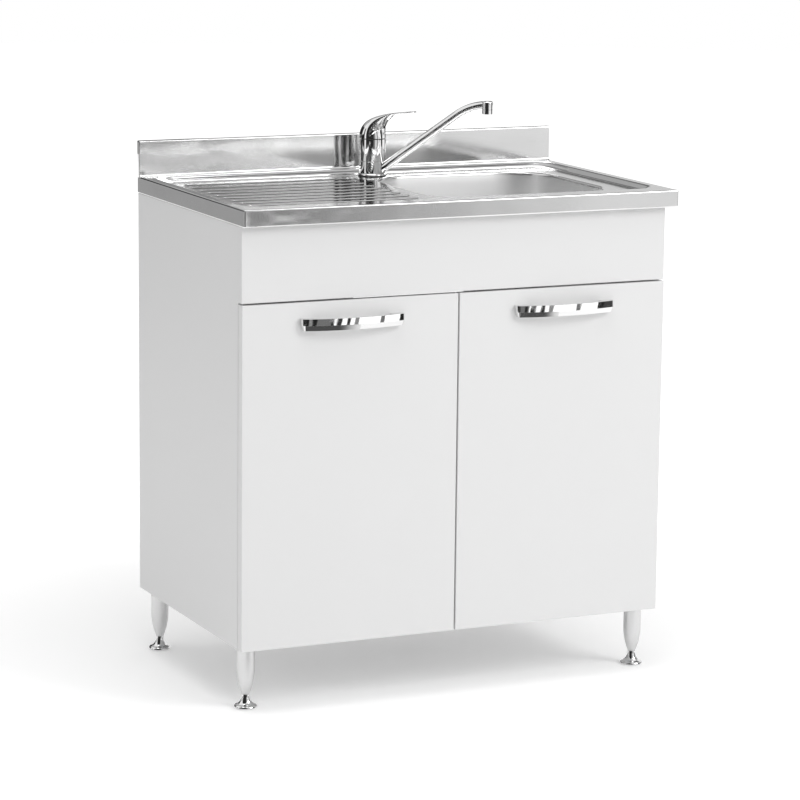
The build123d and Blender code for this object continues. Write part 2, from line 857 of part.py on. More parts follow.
with BuildPart() as hinge_plates:
    for side in (-1, 1):
        for z in hinge_heights:
            foot_plane = Plane(
                origin=(carcass_x(side, board), carcass_front + plate_setback, z),
                x_dir=(0, 1, 0),
                z_dir=(-side, 0, 0),
            )
            with BuildSketch(foot_plane):
                RectangleRounded(plate_wing_width, plate_height, plate_corner)
                Rectangle(plate_length, arm_width)
            extrude(amount=plate_sheet)
            with BuildSketch(foot_plane.offset(plate_sheet)):
                Rectangle(plate_length, arm_width - 2 * arm_wall - 2 * bracket_clearance)
            extrude(amount=plate_rib_height)

# ================================================================ screws into the boards
screw_planes = []
for corner in bracket_planes:
    along, across = corner.x_dir, corner.y_dir
    for away, out in ((along, across), (across, along)):
        spot = corner.origin + away * bracket_hole_from_corner + out * bracket_sheet
        screw_planes.append(Plane(origin=spot, z_dir=out))
# The plate's outermost corner lies over the leg and has no screw.
hole_reach = leg_plate_size / 2 - screw_from_edge
for x in leg_xs:
    for y in leg_ys:
        middle_x, middle_y = plate_centre(x, y)
        for dx, dy in ((1, 1), (1, -1), (-1, 1)):
            centre = (middle_x + inward(x) * dx * hole_reach, middle_y + inward(y) * dy * hole_reach, leg_top)
            screw_planes.append(Plane(origin=centre, z_dir=(0, 0, -1)))
for side in (-1, 1):
    for z in hinge_heights:
        for dz in (-1, 1):
            centre = (
                carcass_x(side, board + plate_sheet),
                carcass_front + plate_setback,
                z + dz * (plate_height / 2 - screw_from_edge),
            )
            screw_planes.append(Plane(origin=centre, z_dir=(-side, 0, 0)))

with BuildPart() as screw_shanks:
    for head in screw_planes:
        with BuildSketch(head):
            RegularPolygon(screw_radius + bracket_clearance, screw_sides)
        extrude(amount=-screw_length)
screw_bores = screw_shanks.part

with BuildPart() as panel_screws:
    for head in screw_planes:
        with BuildSketch(head):
            RegularPolygon(screw_head_radius, screw_sides)
        extrude(amount=screw_head_height)
        with BuildSketch(head):
            RegularPolygon(screw_radius, screw_sides)
        extrude(amount=-screw_length)
save(panel_screws, "panel_screws")

with angle_brackets:
    add(screw_bores, mode=Mode.SUBTRACT)
save(angle_brackets, "angle_brackets")

with leg_plates:
    add(screw_bores, mode=Mode.SUBTRACT)
save(leg_plates, "leg_plates")

with hinge_plates:
    add(screw_bores, mode=Mode.SUBTRACT)
save(hinge_plates, "hinge_plates")


# ================================================================ drain and trap
drain_plane = Plane(origin=(bowl_x, bowl_y, 0), x_dir=(1, 0, 0), z_dir=(0, -1, 0))
drain_axis = Axis((bowl_x, bowl_y, 0), (0, 0, 1))
throat_bottom = bowl_floor - strainer_depth
throat_inner = strainer_throat_radius - strainer_sheet
grid_radius = strainer_throat_radius - strainer_corner
flange_top = bowl_floor + strainer_sheet
grid_top = throat_bottom + strainer_sheet
with BuildPart() as strainer_body:
    with BuildSketch(drain_plane):
        Polygon(
            *[
                (grid_radius, throat_bottom),
                (strainer_throat_radius, throat_bottom + strainer_corner),
                (strainer_throat_radius, bowl_floor),
                (strainer_flange_radius, bowl_floor),
                (strainer_flange_radius - strainer_sheet, flange_top),
                (throat_inner + basket_seat, flange_top),
                (throat_inner, bowl_floor - basket_seat),
                (throat_inner, grid_top + strainer_corner),
                (grid_radius, grid_top),
            ],
            align=None,
        )
    revolve(axis=drain_axis)
save(strainer_body, "strainer_body")

slot_inner = strainer_hub_radius
slot_outer = grid_radius - strainer_corner
with BuildPart() as strainer_grid:
    with BuildSketch(Plane.XY.offset(throat_bottom)):
        with Locations((bowl_x, bowl_y)):
            Circle(grid_radius)
            Circle(strainer_hub_bore, mode=Mode.SUBTRACT)
            with PolarLocations((slot_inner + slot_outer) / 2, strainer_slots):
                Rectangle(slot_outer - slot_inner, strainer_slot_width, mode=Mode.SUBTRACT)
    extrude(amount=strainer_sheet)
save(strainer_grid, "strainer_grid")

gasket_top = bowl_floor - steel
shell_top = gasket_top - gasket_thickness
with BuildPart() as strainer_gasket:
    with BuildSketch(Plane.XY.offset(shell_top)):
        with Locations((bowl_x, bowl_y)):
            Circle(strainer_flange_radius)
            Circle(drain_hole_radius, mode=Mode.SUBTRACT)
    extrude(amount=gasket_thickness)
save(strainer_gasket, "strainer_gasket")

shell_throat = strainer_throat_radius + shell_clearance
shell_outer = shell_throat + shell_wall
shell_flange_bottom = shell_top - shell_flange
shell_knee = shell_top - shell_depth
shell_bottom = shell_knee - shell_cone_height
tail_bottom = shell_bottom - tail_length
tail_bore = tail_radius - tail_wall
bridge_top = throat_bottom - bridge_gap
hub_bottom = bridge_top - bridge_hub_height
with BuildPart() as drain_shell:
    with BuildSketch(drain_plane):
        Polygon(
            *[
                (strainer_flange_radius, shell_top),
                (strainer_flange_radius, shell_flange_bottom),
                (shell_outer, shell_flange_bottom),
                (shell_outer, shell_knee),
                (tail_radius, shell_bottom),
                (tail_bore, shell_bottom),
                (tail_bore, shell_bottom + shell_wall),
                (shell_throat, shell_knee + shell_wall),
                (shell_throat, shell_top),
            ],
            align=None,
        )
    revolve(axis=drain_axis)
    with BuildSketch(Plane.XY.offset(bridge_top)):
        with Locations((bowl_x, bowl_y)):
            Rectangle(shell_throat + shell_outer, bridge_width)
    extrude(amount=-bridge_height)
    with BuildSketch(Plane.XY.offset(bridge_top)):
        with Locations((bowl_x, bowl_y)):
            Circle(bridge_hub_radius)
    extrude(amount=-bridge_hub_height)
    with Locations((bowl_x, bowl_y, bridge_top)):
        Hole(radius=screw_shank_radius + bore_clearance, depth=bridge_hub_height)
save(drain_shell, "drain_shell")

with BuildPart() as strainer_screw:
    with BuildSketch(drain_plane):
        Polygon(
            *[
                (0, hub_bottom),
                (screw_shank_radius, hub_bottom),
                (screw_shank_radius, grid_top),
                (strainer_screw_head, grid_top),
                (strainer_screw_head, grid_top + strainer_screw_rise),
                (0, grid_top + strainer_screw_rise),
            ],
            align=None,
        )
    revolve(axis=drain_axis)
save(strainer_screw, "strainer_screw")

basket_radius = throat_inner - basket_clearance
basket_top = flange_top + basket_clearance
basket_bottom = basket_top - basket_depth
basket_floor_radius = basket_radius - basket_floor_inset
knee_outer = basket_radius - basket_knee_inset
knee_z = basket_bottom + basket_knee_rise
neck_outer = basket_radius - basket_clearance
with BuildPart() as strainer_basket:
    with BuildSketch(drain_plane):
        Polygon(
            *[
                (basket_floor_radius, basket_bottom),
                (knee_outer, knee_z),
                (neck_outer, basket_top - strainer_sheet),
                (basket_radius + basket_rim, basket_top),
                (basket_radius + basket_rim, basket_top + strainer_sheet),
                (neck_outer - strainer_sheet, basket_top + strainer_sheet),
                (knee_outer - strainer_sheet, knee_z),
                (basket_floor_radius, basket_bottom + strainer_sheet),
            ],
            align=None,
        )
    revolve(axis=drain_axis)
save(strainer_basket, "strainer_basket")

with BuildPart() as basket_floor:
    with BuildSketch(Plane.XY.offset(basket_bottom)):
        with Locations((bowl_x, bowl_y)):
            Circle(basket_floor_radius)
            for ring_radius, ring_holes in basket_hole_rings:
                with PolarLocations(ring_radius, ring_holes):
                    Circle(basket_hole_radius, mode=Mode.SUBTRACT)
    extrude(amount=strainer_sheet)
save(basket_floor, "basket_floor")

knob_foot = basket_bottom + strainer_sheet
knob_low = knob_foot + basket_knob_stem
with BuildPart() as basket_knob:
    with BuildSketch(drain_plane):
        Polygon(
            *[
                (0, knob_foot),
                (basket_knob_stem_radius, knob_foot),
                (basket_knob_stem_radius, knob_low),
                (basket_knob_radius, knob_low + basket_knob_round),
                (basket_knob_radius, knob_low + basket_knob_height - basket_knob_round),
                (basket_knob_radius - basket_knob_round, knob_low + basket_knob_height),
                (0, knob_low + basket_knob_height),
            ],
            align=None,
        )
    revolve(axis=drain_axis)
save(basket_knob, "basket_knob")

# The bottle trap hangs on the drain's tail and turns its outlet to the back.
trap_socket = tail_radius + socket_clearance
socket_outer = trap_socket + shell_wall
trap_top = tail_bottom + tail_in_socket
body_top = trap_top - socket_height
body_bottom = body_top - trap_height
cup_rim = body_bottom + cup_overlap
cup_bottom = cup_rim - cup_height
outlet_z = body_bottom + outlet_above_cup
stub_reach = trap_radius + trap_stub_length
stub_plane = Plane(origin=(bowl_x, bowl_y, outlet_z), x_dir=(1, 0, 0), z_dir=(0, 1, 0))
trap_inner = trap_radius - trap_wall
with BuildPart() as trap_body:
    with BuildSketch(drain_plane):
        Polygon(
            *[
                (trap_socket, trap_top),
                (socket_outer, trap_top),
                (socket_outer, body_top + trap_shoulder),
                (trap_radius - trap_shoulder, body_top),
                (trap_radius, body_top - trap_shoulder),
                (trap_radius, body_bottom),
                (trap_inner, body_bottom),
                (trap_inner, body_top - trap_shoulder - trap_wall),
                (trap_socket, body_top - trap_wall),
            ],
            align=None,
        )
    revolve(axis=drain_axis)
    with BuildSketch(stub_plane.offset(trap_inner)):
        Circle(socket_outer)
    extrude(amount=stub_reach - trap_inner)
    with BuildSketch(stub_plane.offset(trap_radius)):
        Circle(trap_socket)
    extrude(amount=trap_stub_length, mode=Mode.SUBTRACT)
    with BuildSketch(stub_plane.offset(trap_inner - trap_wall)):
        Circle(tail_bore)
    extrude(amount=stub_reach, mode=Mode.SUBTRACT)
save(trap_body, "trap_body")

# The drain's tail runs on down into the trap as its dip tube.
dip_end = cup_bottom + dip_above_cup
with BuildPart() as drain_tail:
    with BuildSketch(drain_plane):
        Polygon(
            *[
                (tail_bore, shell_bottom),
                (tail_radius, shell_bottom),
                (tail_radius, dip_end),
                (tail_bore, dip_end),
            ],
            align=None,
        )
    revolve(axis=drain_axis)
save(drain_tail, "drain_tail")

cup_inner = trap_radius + bore_clearance
cup_outer = cup_inner + trap_wall
cup_seat = body_bottom - bore_clearance
with BuildPart() as trap_cup:
    with BuildSketch(drain_plane):
        Polygon(
            *[
                (0, cup_bottom),
                (trap_radius - cup_corner, cup_bottom),
                (trap_radius, cup_bottom + cup_corner),
                (trap_radius, cup_seat - trap_wall),
                (cup_outer, cup_seat - trap_wall),
                (cup_outer, cup_rim),
                (cup_inner, cup_rim),
                (cup_inner, cup_seat),
                (trap_inner, cup_seat),
                (trap_inner, cup_bottom + cup_corner),
                (trap_inner - cup_corner + trap_wall, cup_bottom + trap_wall),
                (0, cup_bottom + trap_wall),
            ],
            align=None,
        )
    revolve(axis=drain_axis)
save(trap_cup, "trap_cup")

nut_bore = socket_outer + bore_clearance
inlet_nut_plane = Plane(origin=(bowl_x, bowl_y, trap_top + nut_lip), x_dir=(1, 0, 0), z_dir=(0, 0, 1))
with BuildPart() as trap_nuts:
    for nut_plane in (inlet_nut_plane, stub_plane.offset(stub_reach + nut_lip)):
        with BuildSketch(nut_plane):
            RegularPolygon(trap_nut_radius, trap_nut_sides)
        extrude(amount=-trap_nut_height)
        with BuildSketch(nut_plane):
            Circle(tail_radius + bore_clearance)
        extrude(amount=-trap_nut_height, mode=Mode.SUBTRACT)
        with BuildSketch(nut_plane.offset(-nut_lip)):
            Circle(nut_bore)
        extrude(amount=-trap_nut_height, mode=Mode.SUBTRACT)
save(trap_nuts, "trap_nuts")

# A rolled collar stops the wall's waste pipe short of the nut.
outlet_start = trap_radius + outlet_seat
outlet_end = carcass_rear - bowl_y
collar_start = stub_reach + nut_lip + outlet_collar_from_nut
with BuildPart() as trap_outlet_pipe:
    with BuildSketch(stub_plane.offset(outlet_start)):
        Circle(tail_radius)
    extrude(amount=outlet_end - outlet_start)
    with BuildSketch(stub_plane.offset(collar_start)):
        Circle(tail_radius + outlet_collar_rise)
    extrude(amount=outlet_collar_width)
    with BuildSketch(stub_plane.offset(outlet_start)):
        Circle(tail_bore)
    extrude(amount=outlet_end, mode=Mode.SUBTRACT)
save(trap_outlet_pipe, "trap_outlet_pipe")


# ================================================================ tap
deck = tray_z
tap_axis = Axis((tap_x, tap_y, 0), (0, 0, 1))
tap_section = Plane(origin=(tap_x, tap_y, deck), x_dir=(1, 0, 0), z_dir=(0, -1, 0))
pivot_height = lever_floor + lever_pivot_rise
sweep_radius = sqrt(tap_radius**2 + lever_pivot_rise**2)


def tap_plane(height):
    """A level plane on the tap's axis at a height above the deck."""
    return Plane(origin=(tap_x, tap_y, deck + height), x_dir=(1, 0, 0), z_dir=(0, 0, 1))


def side_plane(direction):
    """An upright plane through the tap's axis: x runs outwards along a direction, y runs up."""
    angle = radians(direction)
    return Plane(
        origin=(tap_x, tap_y, deck),
        x_dir=(cos(angle), sin(angle), 0),
        z_dir=(sin(angle), -cos(angle), 0),
    )


def lever_cross_plane(distance):
    """An upright plane across the lever at a distance out from the tap's axis."""
    angle = radians(lever_direction)
    outwards = (cos(angle), sin(angle), 0)
    start = (tap_x + distance * cos(angle), tap_y + distance * sin(angle), deck)
    return Plane(origin=start, x_dir=(-sin(angle), cos(angle), 0), z_dir=outwards)


with BuildPart() as tap_gasket_ring:
    with BuildSketch(tap_plane(0)):
        Circle(tap_base_radius - tap_gasket_inset)
        Circle(tap_hole_radius, mode=Mode.SUBTRACT)
    extrude(amount=tap_gasket)
save(tap_gasket_ring, "tap_gasket")

with BuildPart() as tap_base_ring:
    with BuildSketch(tap_section):
        Polygon(
            *[
                (tap_core_radius, tap_gasket),
                (tap_base_radius, tap_gasket),
                (tap_base_radius, tap_gasket + tap_base_edge),
                (tap_radius, tap_base_height),
                (tap_core_radius, tap_base_height),
            ],
            align=None,
        )
    revolve(axis=tap_axis)
save(tap_base_ring, "tap_base_ring")

body_shoulder = collar_top + collar_gap
core_foot = -core_below_deck
pocket_radius = cartridge_radius + collar_gap
mouth_radius = tap_radius - tap_wall
nut_top = cartridge_floor + cartridge_height + cartridge_nut_height
with BuildPart() as tap_body:
    with BuildSketch(tap_section):
        Polygon(
            *[
                (0, core_foot),
                (tap_core_radius, core_foot),
                (tap_core_radius, body_shoulder),
                (tap_radius - tap_edge, body_shoulder),
                (tap_radius, body_shoulder + tap_edge),
                (tap_radius, lever_floor),
                (mouth_radius, lever_floor),
                (mouth_radius, nut_top + tap_edge),
                (pocket_radius, nut_top),
                (pocket_radius, cartridge_floor),
                (0, cartridge_floor),
            ],
            align=None,
        )
    revolve(axis=tap_axis)
    with Locations((tap_x, tap_y, deck + pivot_height)):
        Sphere(sweep_radius + lever_gap, mode=Mode.SUBTRACT)
    with BuildSketch(tap_plane(core_foot)):
        for dx in (-inlet_spacing / 2, inlet_spacing / 2):
            with Locations((dx, -inlet_setback)):
                Circle(inlet_radius)
        with Locations((0, tap_stud_back)):
            Circle(tap_stud_radius)
    extrude(amount=inlet_depth, mode=Mode.SUBTRACT)
    with BuildSketch(side_plane(spout_direction)):
        with Locations((tap_core_radius, spout_root_height)):
            Circle(spout_bore)
    extrude(amount=spout_bore, both=True, mode=Mode.SUBTRACT)
save(tap_body, "tap_body")

# The spout leaves its collar at a slope, runs straight, and bends over to the nozzle.
spout_side = side_plane(spout_direction)
root = (tap_core_radius + spout_root_inset, spout_root_height)
slope = radians(spout_slope)
straight_end = (root[0] + spout_straight * cos(slope), root[1] + spout_straight * sin(slope))
bend_centre = (
    straight_end[0] + spout_bend_radius * sin(slope),
    straight_end[1] - spout_bend_radius * cos(slope),
)
end_angle = radians(spout_end_slope)
spout_end = (
    bend_centre[0] - spout_bend_radius * sin(end_angle),
    bend_centre[1] + spout_bend_radius * cos(end_angle),
)
nozzle_low = spout_end[1] - nozzle_drop - spout_end_radius
nozzle_high = spout_end[1] + nozzle_rise
with BuildPart() as spout:
    with BuildSketch(tap_plane(tap_base_height + collar_gap)):
        Circle(tap_radius)
    extrude(amount=collar_top - tap_base_height - collar_gap)
    with BuildLine(spout_side) as spout_route:
        straight = Line(root, straight_end)
        bend = RadiusArc(straight_end, spout_end, spout_bend_radius)
    with BuildSketch(Plane(origin=spout_route.line @ 0, z_dir=spout_route.line % 0)):
        Circle(spout_radius)
    with BuildSketch(Plane(origin=spout_route.line @ 1, z_dir=spout_route.line % 1)):
        Circle(spout_end_radius)
    sweep(path=spout_route.line, multisection=True)
    nozzle_place = spout_side.from_local_coords(Vector(spout_end[0], 0, 0))
    nozzle_centre = (nozzle_place.X, nozzle_place.Y)
    with BuildSketch(Plane.XY.offset(deck + nozzle_low)):
        with Locations(nozzle_centre):
            Circle(nozzle_radius)
    extrude(amount=nozzle_high - nozzle_low)
    top_rim = spout.faces().sort_by(Axis.Z)[-1].edges()
    fillet(top_rim, radius=nozzle_round)
    with BuildSketch(tap_plane(0)):
        Circle(2 * tap_base_radius)
    extrude(amount=tap_base_height + collar_gap, mode=Mode.SUBTRACT)
    with BuildSketch(tap_plane(tap_base_height)):
        Circle(tap_core_radius + spout_running_clearance)
    extrude(amount=collar_top, mode=Mode.SUBTRACT)
    with BuildSketch(Plane(origin=spout_route.line @ 0, z_dir=spout_route.line % 0)):
        Circle(spout_bore)
    sweep(path=spout_route.line, mode=Mode.SUBTRACT)
    with BuildSketch(Plane.XY.offset(deck + nozzle_low)):
        with Locations(nozzle_centre):
            Circle(nozzle_radius - nozzle_wall)
    extrude(amount=spout_end[1] - nozzle_low, mode=Mode.SUBTRACT)
save(spout, "spout")

aerator_top = nozzle_low - collar_gap
with BuildPart() as aerator:
    with BuildSketch(Plane.XY.offset(deck + aerator_top)):
        with Locations(nozzle_centre):
            Circle(nozzle_radius)
    extrude(amount=-aerator_height)
    with BuildSketch(Plane.XY.offset(deck + aerator_top - aerator_height)):
        with Locations(nozzle_centre):
            Circle(aerator_bore)
    extrude(amount=aerator_recess, mode=Mode.SUBTRACT)
    with BuildSketch(Plane.XY.offset(deck + aerator_top - aerator_height)):
        with Locations(nozzle_centre):
            with PolarLocations(aerator_hole_ring, aerator_holes):
                Circle(aerator_hole_radius)
    extrude(amount=aerator_height, mode=Mode.SUBTRACT)
save(aerator, "aerator")

with BuildPart() as cartridge:
    with BuildSketch(tap_plane(cartridge_floor)):
        Circle(cartridge_radius)
    extrude(amount=cartridge_height)
save(cartridge, "cartridge")

cartridge_top = cartridge_floor + cartridge_height
with BuildPart() as cartridge_nut:
    with BuildSketch(tap_plane(cartridge_top)):
        Circle(cartridge_radius)
        Circle(turret_radius + turret_clearance, mode=Mode.SUBTRACT)
        with PolarLocations(cartridge_radius, nut_notches):
            Rectangle(nut_notch, nut_notch, mode=Mode.SUBTRACT)
    extrude(amount=cartridge_nut_height)
save(cartridge_nut, "cartridge_nut")

turret_top = pivot_height + turret_above_pivot
slot_width = stem_width + 2 * stem_clearance
lever_side = side_plane(lever_direction)
with BuildPart() as cartridge_turret:
    with BuildSketch(tap_plane(cartridge_top + turret_clearance)):
        Circle(turret_radius)
    extrude(amount=turret_top - cartridge_top - turret_clearance)
    slot_floor = tap_plane(pivot_height - stem_below_pivot - slot_below_stem)
    with BuildSketch(slot_floor.rotated((0, 0, lever_direction))):
        Rectangle(2 * turret_radius, slot_width)
    extrude(amount=turret_top, mode=Mode.SUBTRACT)
    with BuildSketch(lever_side):
        with Locations((0, pivot_height)):
            Circle(pin_radius)
    extrude(amount=turret_radius, both=True, mode=Mode.SUBTRACT)
save(cartridge_turret, "cartridge_turret")

with BuildPart() as stem_pin:
    with BuildSketch(lever_side):
        with Locations((0, pivot_height)):
            Circle(pin_radius)
    extrude(amount=turret_radius - pin_inset, both=True)
save(stem_pin, "stem_pin")

with BuildPart() as cartridge_stem:
    with BuildSketch(lever_side):
        stem_low = pivot_height - stem_below_pivot
        stem_high = pivot_height + stem_above_pivot
        with Locations((0, (stem_low + stem_high) / 2)):
            Rectangle(stem_width, stem_high - stem_low)
        with Locations((0, pivot_height)):
            Circle(pin_radius + pin_clearance, mode=Mode.SUBTRACT)
    extrude(amount=stem_width / 2, both=True)
save(cartridge_stem, "cartridge_stem")

# The lever is a side outline crossed with a plan outline, hollowed over the cartridge.
boss_floor = pivot_height + stem_boss_above_pivot
cavity_centre = lever_floor + lever_skirt
cavity_radius = tap_radius - lever_wall
grub_height = boss_floor + stem_boss_height / 2
lever_top_plane = tap_plane(boss_floor).rotated((0, 0, lever_direction))
with BuildPart() as lever:
    with BuildSketch(lever_side):
        with BuildLine():
            back_low = (-tap_radius, lever_floor)
            back_high = (-tap_radius, lever_floor + lever_skirt)
            tip_high = (lever_reach, lever_tip_height)
            tip_low = (lever_reach, lever_tip_height - lever_tip_thickness)
            front_low = (tap_radius, lever_floor)
            front_high = (tap_radius, lever_chin_height)
            crown_way = (lever_crown_lean, 1)
            back = Spline(back_high, lever_crown, tangents=((0, 1), crown_way))
            top = Spline(lever_crown, lever_shoulder, tip_high, tangents=(crown_way, (1, lever_tip_rise)))
            under_ways = ((-1, -lever_tip_rise), (-lever_chin_lean, -1))
            under = Spline(tip_low, lever_throat, front_high, tangents=under_ways)
            Line(tip_high, tip_low)
            Polyline(front_high, front_low, back_low, back_high)
        make_face()
    extrude(amount=tap_radius, both=True)
    with BuildSketch(tap_plane(lever_floor).rotated((0, 0, lever_direction))):
        Circle(tap_radius)
        with Locations((lever_reach - lever_tip_width / 2, 0)):
            Circle(lever_tip_width / 2)
        make_hull()
    extrude(amount=lever_tip_height, mode=Mode.INTERSECT)
    with BuildSketch(tap_plane(lever_floor)):
        Circle(cavity_radius)
    extrude(amount=lever_skirt, mode=Mode.SUBTRACT)
    with Locations((tap_x, tap_y, deck + cavity_centre)):
        Sphere(cavity_radius, mode=Mode.SUBTRACT)
    with BuildSketch(lever_top_plane):
        Circle(stem_width)
    extrude(amount=stem_boss_height)
    with BuildSketch(lever_top_plane):
        Rectangle(stem_width, stem_width)
    extrude(amount=stem_above_pivot - stem_boss_above_pivot, mode=Mode.SUBTRACT)
    with BuildSketch(lever_cross_plane(grub_start)):
        with Locations((0, grub_height)):
            Circle(grub_radius + grub_clearance)
    extrude(amount=lever_reach, mode=Mode.SUBTRACT)
save(lever, "lever")

with BuildPart() as lever_screw:
    with BuildSketch(lever_cross_plane(grub_start)):
        with Locations((0, grub_height)):
            Circle(grub_radius)
    extrude(amount=grub_length)
    with BuildSketch(lever_cross_plane(grub_start + grub_length)):
        with Locations((0, grub_height)):
            RegularPolygon(grub_radius / 2, 6)
    extrude(amount=-grub_radius, mode=Mode.SUBTRACT)
save(lever_screw, "lever_screw")

# The fixing under the deck: stud, horseshoe washer and nut.
stud_top = inlet_depth + core_foot
stud_place = (0, tap_stud_back)
washer_top = -steel
with BuildPart() as tap_stud:
    with BuildSketch(tap_plane(stud_top)):
        with Locations(stud_place):
            Circle(tap_stud_radius)
    extrude(amount=-tap_stud_length)
save(tap_stud, "tap_stud")

with BuildPart() as tap_washer:
    with BuildSketch(tap_plane(washer_top)):
        Circle(washer_radius)
        with Locations((0, -washer_radius + washer_slot_depth / 2)):
            Rectangle(washer_slot_width, washer_slot_depth, mode=Mode.SUBTRACT)
        with Locations(stud_place):
            Circle(tap_stud_radius, mode=Mode.SUBTRACT)
    extrude(amount=-washer_thickness)
save(tap_washer, "tap_washer")

with BuildPart() as tap_nut:
    with BuildSketch(tap_plane(washer_top - washer_thickness)):
        with Locations(stud_place):
            RegularPolygon(nut_across_flats / 2, 6, major_radius=False)
            Circle(tap_stud_radius, mode=Mode.SUBTRACT)
    extrude(amount=-nut_height)
save(tap_nut, "tap_nut")
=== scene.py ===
"""Kitchen sink unit: the finish of every surface and the fine pieces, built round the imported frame."""

import json
from math import cos, radians, sin, sqrt, tan

import bmesh
import bpy
from bpy.props import FloatProperty, FloatVectorProperty, IntProperty, PointerProperty
from mathutils import Matrix, Vector


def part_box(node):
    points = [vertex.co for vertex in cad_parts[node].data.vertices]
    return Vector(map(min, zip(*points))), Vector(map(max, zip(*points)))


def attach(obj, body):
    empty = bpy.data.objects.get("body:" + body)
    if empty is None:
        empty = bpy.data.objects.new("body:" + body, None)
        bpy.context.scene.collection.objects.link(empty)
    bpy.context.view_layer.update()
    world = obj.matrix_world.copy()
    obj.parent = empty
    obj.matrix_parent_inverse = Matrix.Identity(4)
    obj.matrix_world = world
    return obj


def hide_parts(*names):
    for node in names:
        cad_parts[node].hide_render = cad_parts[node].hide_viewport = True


bl_info = {
    "name": "Kitchen Sink Unit",
    "version": (1, 0, 0),
    "blender": (4, 5, 0),
    "location": "3D View > Sidebar > Sink Unit",
    "description": "Dresses the sink unit with its pressed steel, chrome and laminate",
    "category": "Add Mesh",
}

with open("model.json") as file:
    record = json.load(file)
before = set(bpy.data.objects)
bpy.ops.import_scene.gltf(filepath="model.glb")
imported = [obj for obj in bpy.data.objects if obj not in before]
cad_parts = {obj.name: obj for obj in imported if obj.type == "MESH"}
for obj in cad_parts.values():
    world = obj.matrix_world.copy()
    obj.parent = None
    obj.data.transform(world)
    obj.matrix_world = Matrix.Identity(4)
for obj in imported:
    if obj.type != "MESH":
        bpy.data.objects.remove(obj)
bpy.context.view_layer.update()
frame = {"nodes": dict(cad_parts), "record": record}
nodes = frame["nodes"]
mm = 0.001
smooth_angle = radians(35)
sheet_angle = radians(60)
weld = 0.002 * mm
rim_height = 30 * mm
step_drop = 8 * mm
rim_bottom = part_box("fascia_panel")[1].z
rim_top = rim_bottom + rim_height
tray = rim_top - step_drop


def grey(level):
    """A neutral colour that shows as the given level from black, 0, to white, 1."""
    linear = level**2.2
    return (linear, linear, linear)


# ================================================================ settings
def length(name, description, millimetres):
    """A length among the settings."""
    return FloatProperty(name=name, description=description, default=millimetres * mm, unit="LENGTH")


def neutral(name, description, level):
    """A neutral colour among the settings."""
    return FloatVectorProperty(
        name=name, description=description, default=grey(level), subtype="COLOR", min=0, max=1
    )


class PressingSettings(bpy.types.PropertyGroup):
    """Sizes of the pressed sink top that the frame does not give."""

    sheet: length("Sheet", "Thickness of the steel", 1.0)
    edge: length("Rim edge", "Radius along the rim", 2.5)
    hem: length("Hem", "Width of the hem turned in under the rim", 12.0)
    side_rim: length("Side rim", "From the sink's sides to the step round the tray", 16.0)
    front_rim: length("Front rim", "From the sink's front to the step", 40.0)
    rear_rim: length("Rear rim", "From the sink's back to the step", 22.0)
    step_run: length("Step run", "Width of the step", 14.0)
    tray_corner: length("Tray corner", "Corner radius of the step", 36.0)
    dish: length("Dish", "Fall of the drainer's middle", 2.0)
    lip: length("Bowl lip", "Radius round the bowl's mouth", 5.0)
    bowl_width: length("Bowl width", "Mouth of the bowl from left to right", 332.0)
    bowl_length: length("Bowl length", "Mouth of the bowl from front to back", 330.0)
    bowl_corner: length("Bowl corner", "Corner radius of the bowl", 80.0)
    bowl_foot: length("Bowl foot", "Radius round the bowl's floor", 30.0)
    drain_hole: length("Drain hole", "Radius of the hole for the drain", 45.0)
    upstand: length("Upstand", "Thickness of the upstand", 13.0)
    upstand_foot: length("Upstand foot", "Radius between the rim and the upstand", 4.0)
    upstand_crown: length("Upstand crown", "Radius along the upstand's top", 2.5)
    ribs: IntProperty(name="Ribs", description="Ribs of the drainer", default=9, min=1)
    rib_pitch: length("Rib pitch", "From rib to rib", 36.8)
    rib_height: length("Rib height", "Rise of a rib", 1.7)
    rib_length: length("Rib length", "Length of a rib over its round ends", 312.0)
    rib_width: length("Rib width", "Width of a rib at its foot", 10.5)
    rib_place: length("Rib place", "From the sink's left side to the middle of the ribs", 206.0)


class FinishSettings(bpy.types.PropertyGroup):
    """Colours of the finishes."""

    laminate: neutral("Laminate", "White of the boards", 0.905)
    steel: neutral("Steel", "Pressed stainless steel", 0.84)
    chrome: neutral("Chrome", "Chrome plate", 0.90)
    satin: neutral("Satin silver", "Leg sleeves", 0.86)


# ================================================================ materials
class Wire:
    """A socket of a node tree; arithmetic on it adds Math nodes."""

    def __init__(self, graph, socket):
        self.graph = graph
        self.socket = socket

    def math(self, operation, *values):
        """A Math node over some values."""
        return self.graph.add("ShaderNodeMath", values, operation=operation)

    def __add__(self, other):
        return self.math("ADD", self, other)

    def __radd__(self, other):
        return self.math("ADD", other, self)

    def __sub__(self, other):
        return self.math("SUBTRACT", self, other)

    def __rsub__(self, other):
        return self.math("SUBTRACT", other, self)

    def __mul__(self, other):
        return self.math("MULTIPLY", self, other)

    def __rmul__(self, other):
        return self.math("MULTIPLY", other, self)

    def __pow__(self, other):
        return self.math("POWER", self, other)

    def between(self, low, high):
        """Rises smoothly from 0 at low to 1 at high."""
        values = {"Value": self, "From Min": low, "From Max": high}
        return self.graph.add("ShaderNodeMapRange", values, interpolation_type="SMOOTHSTEP")


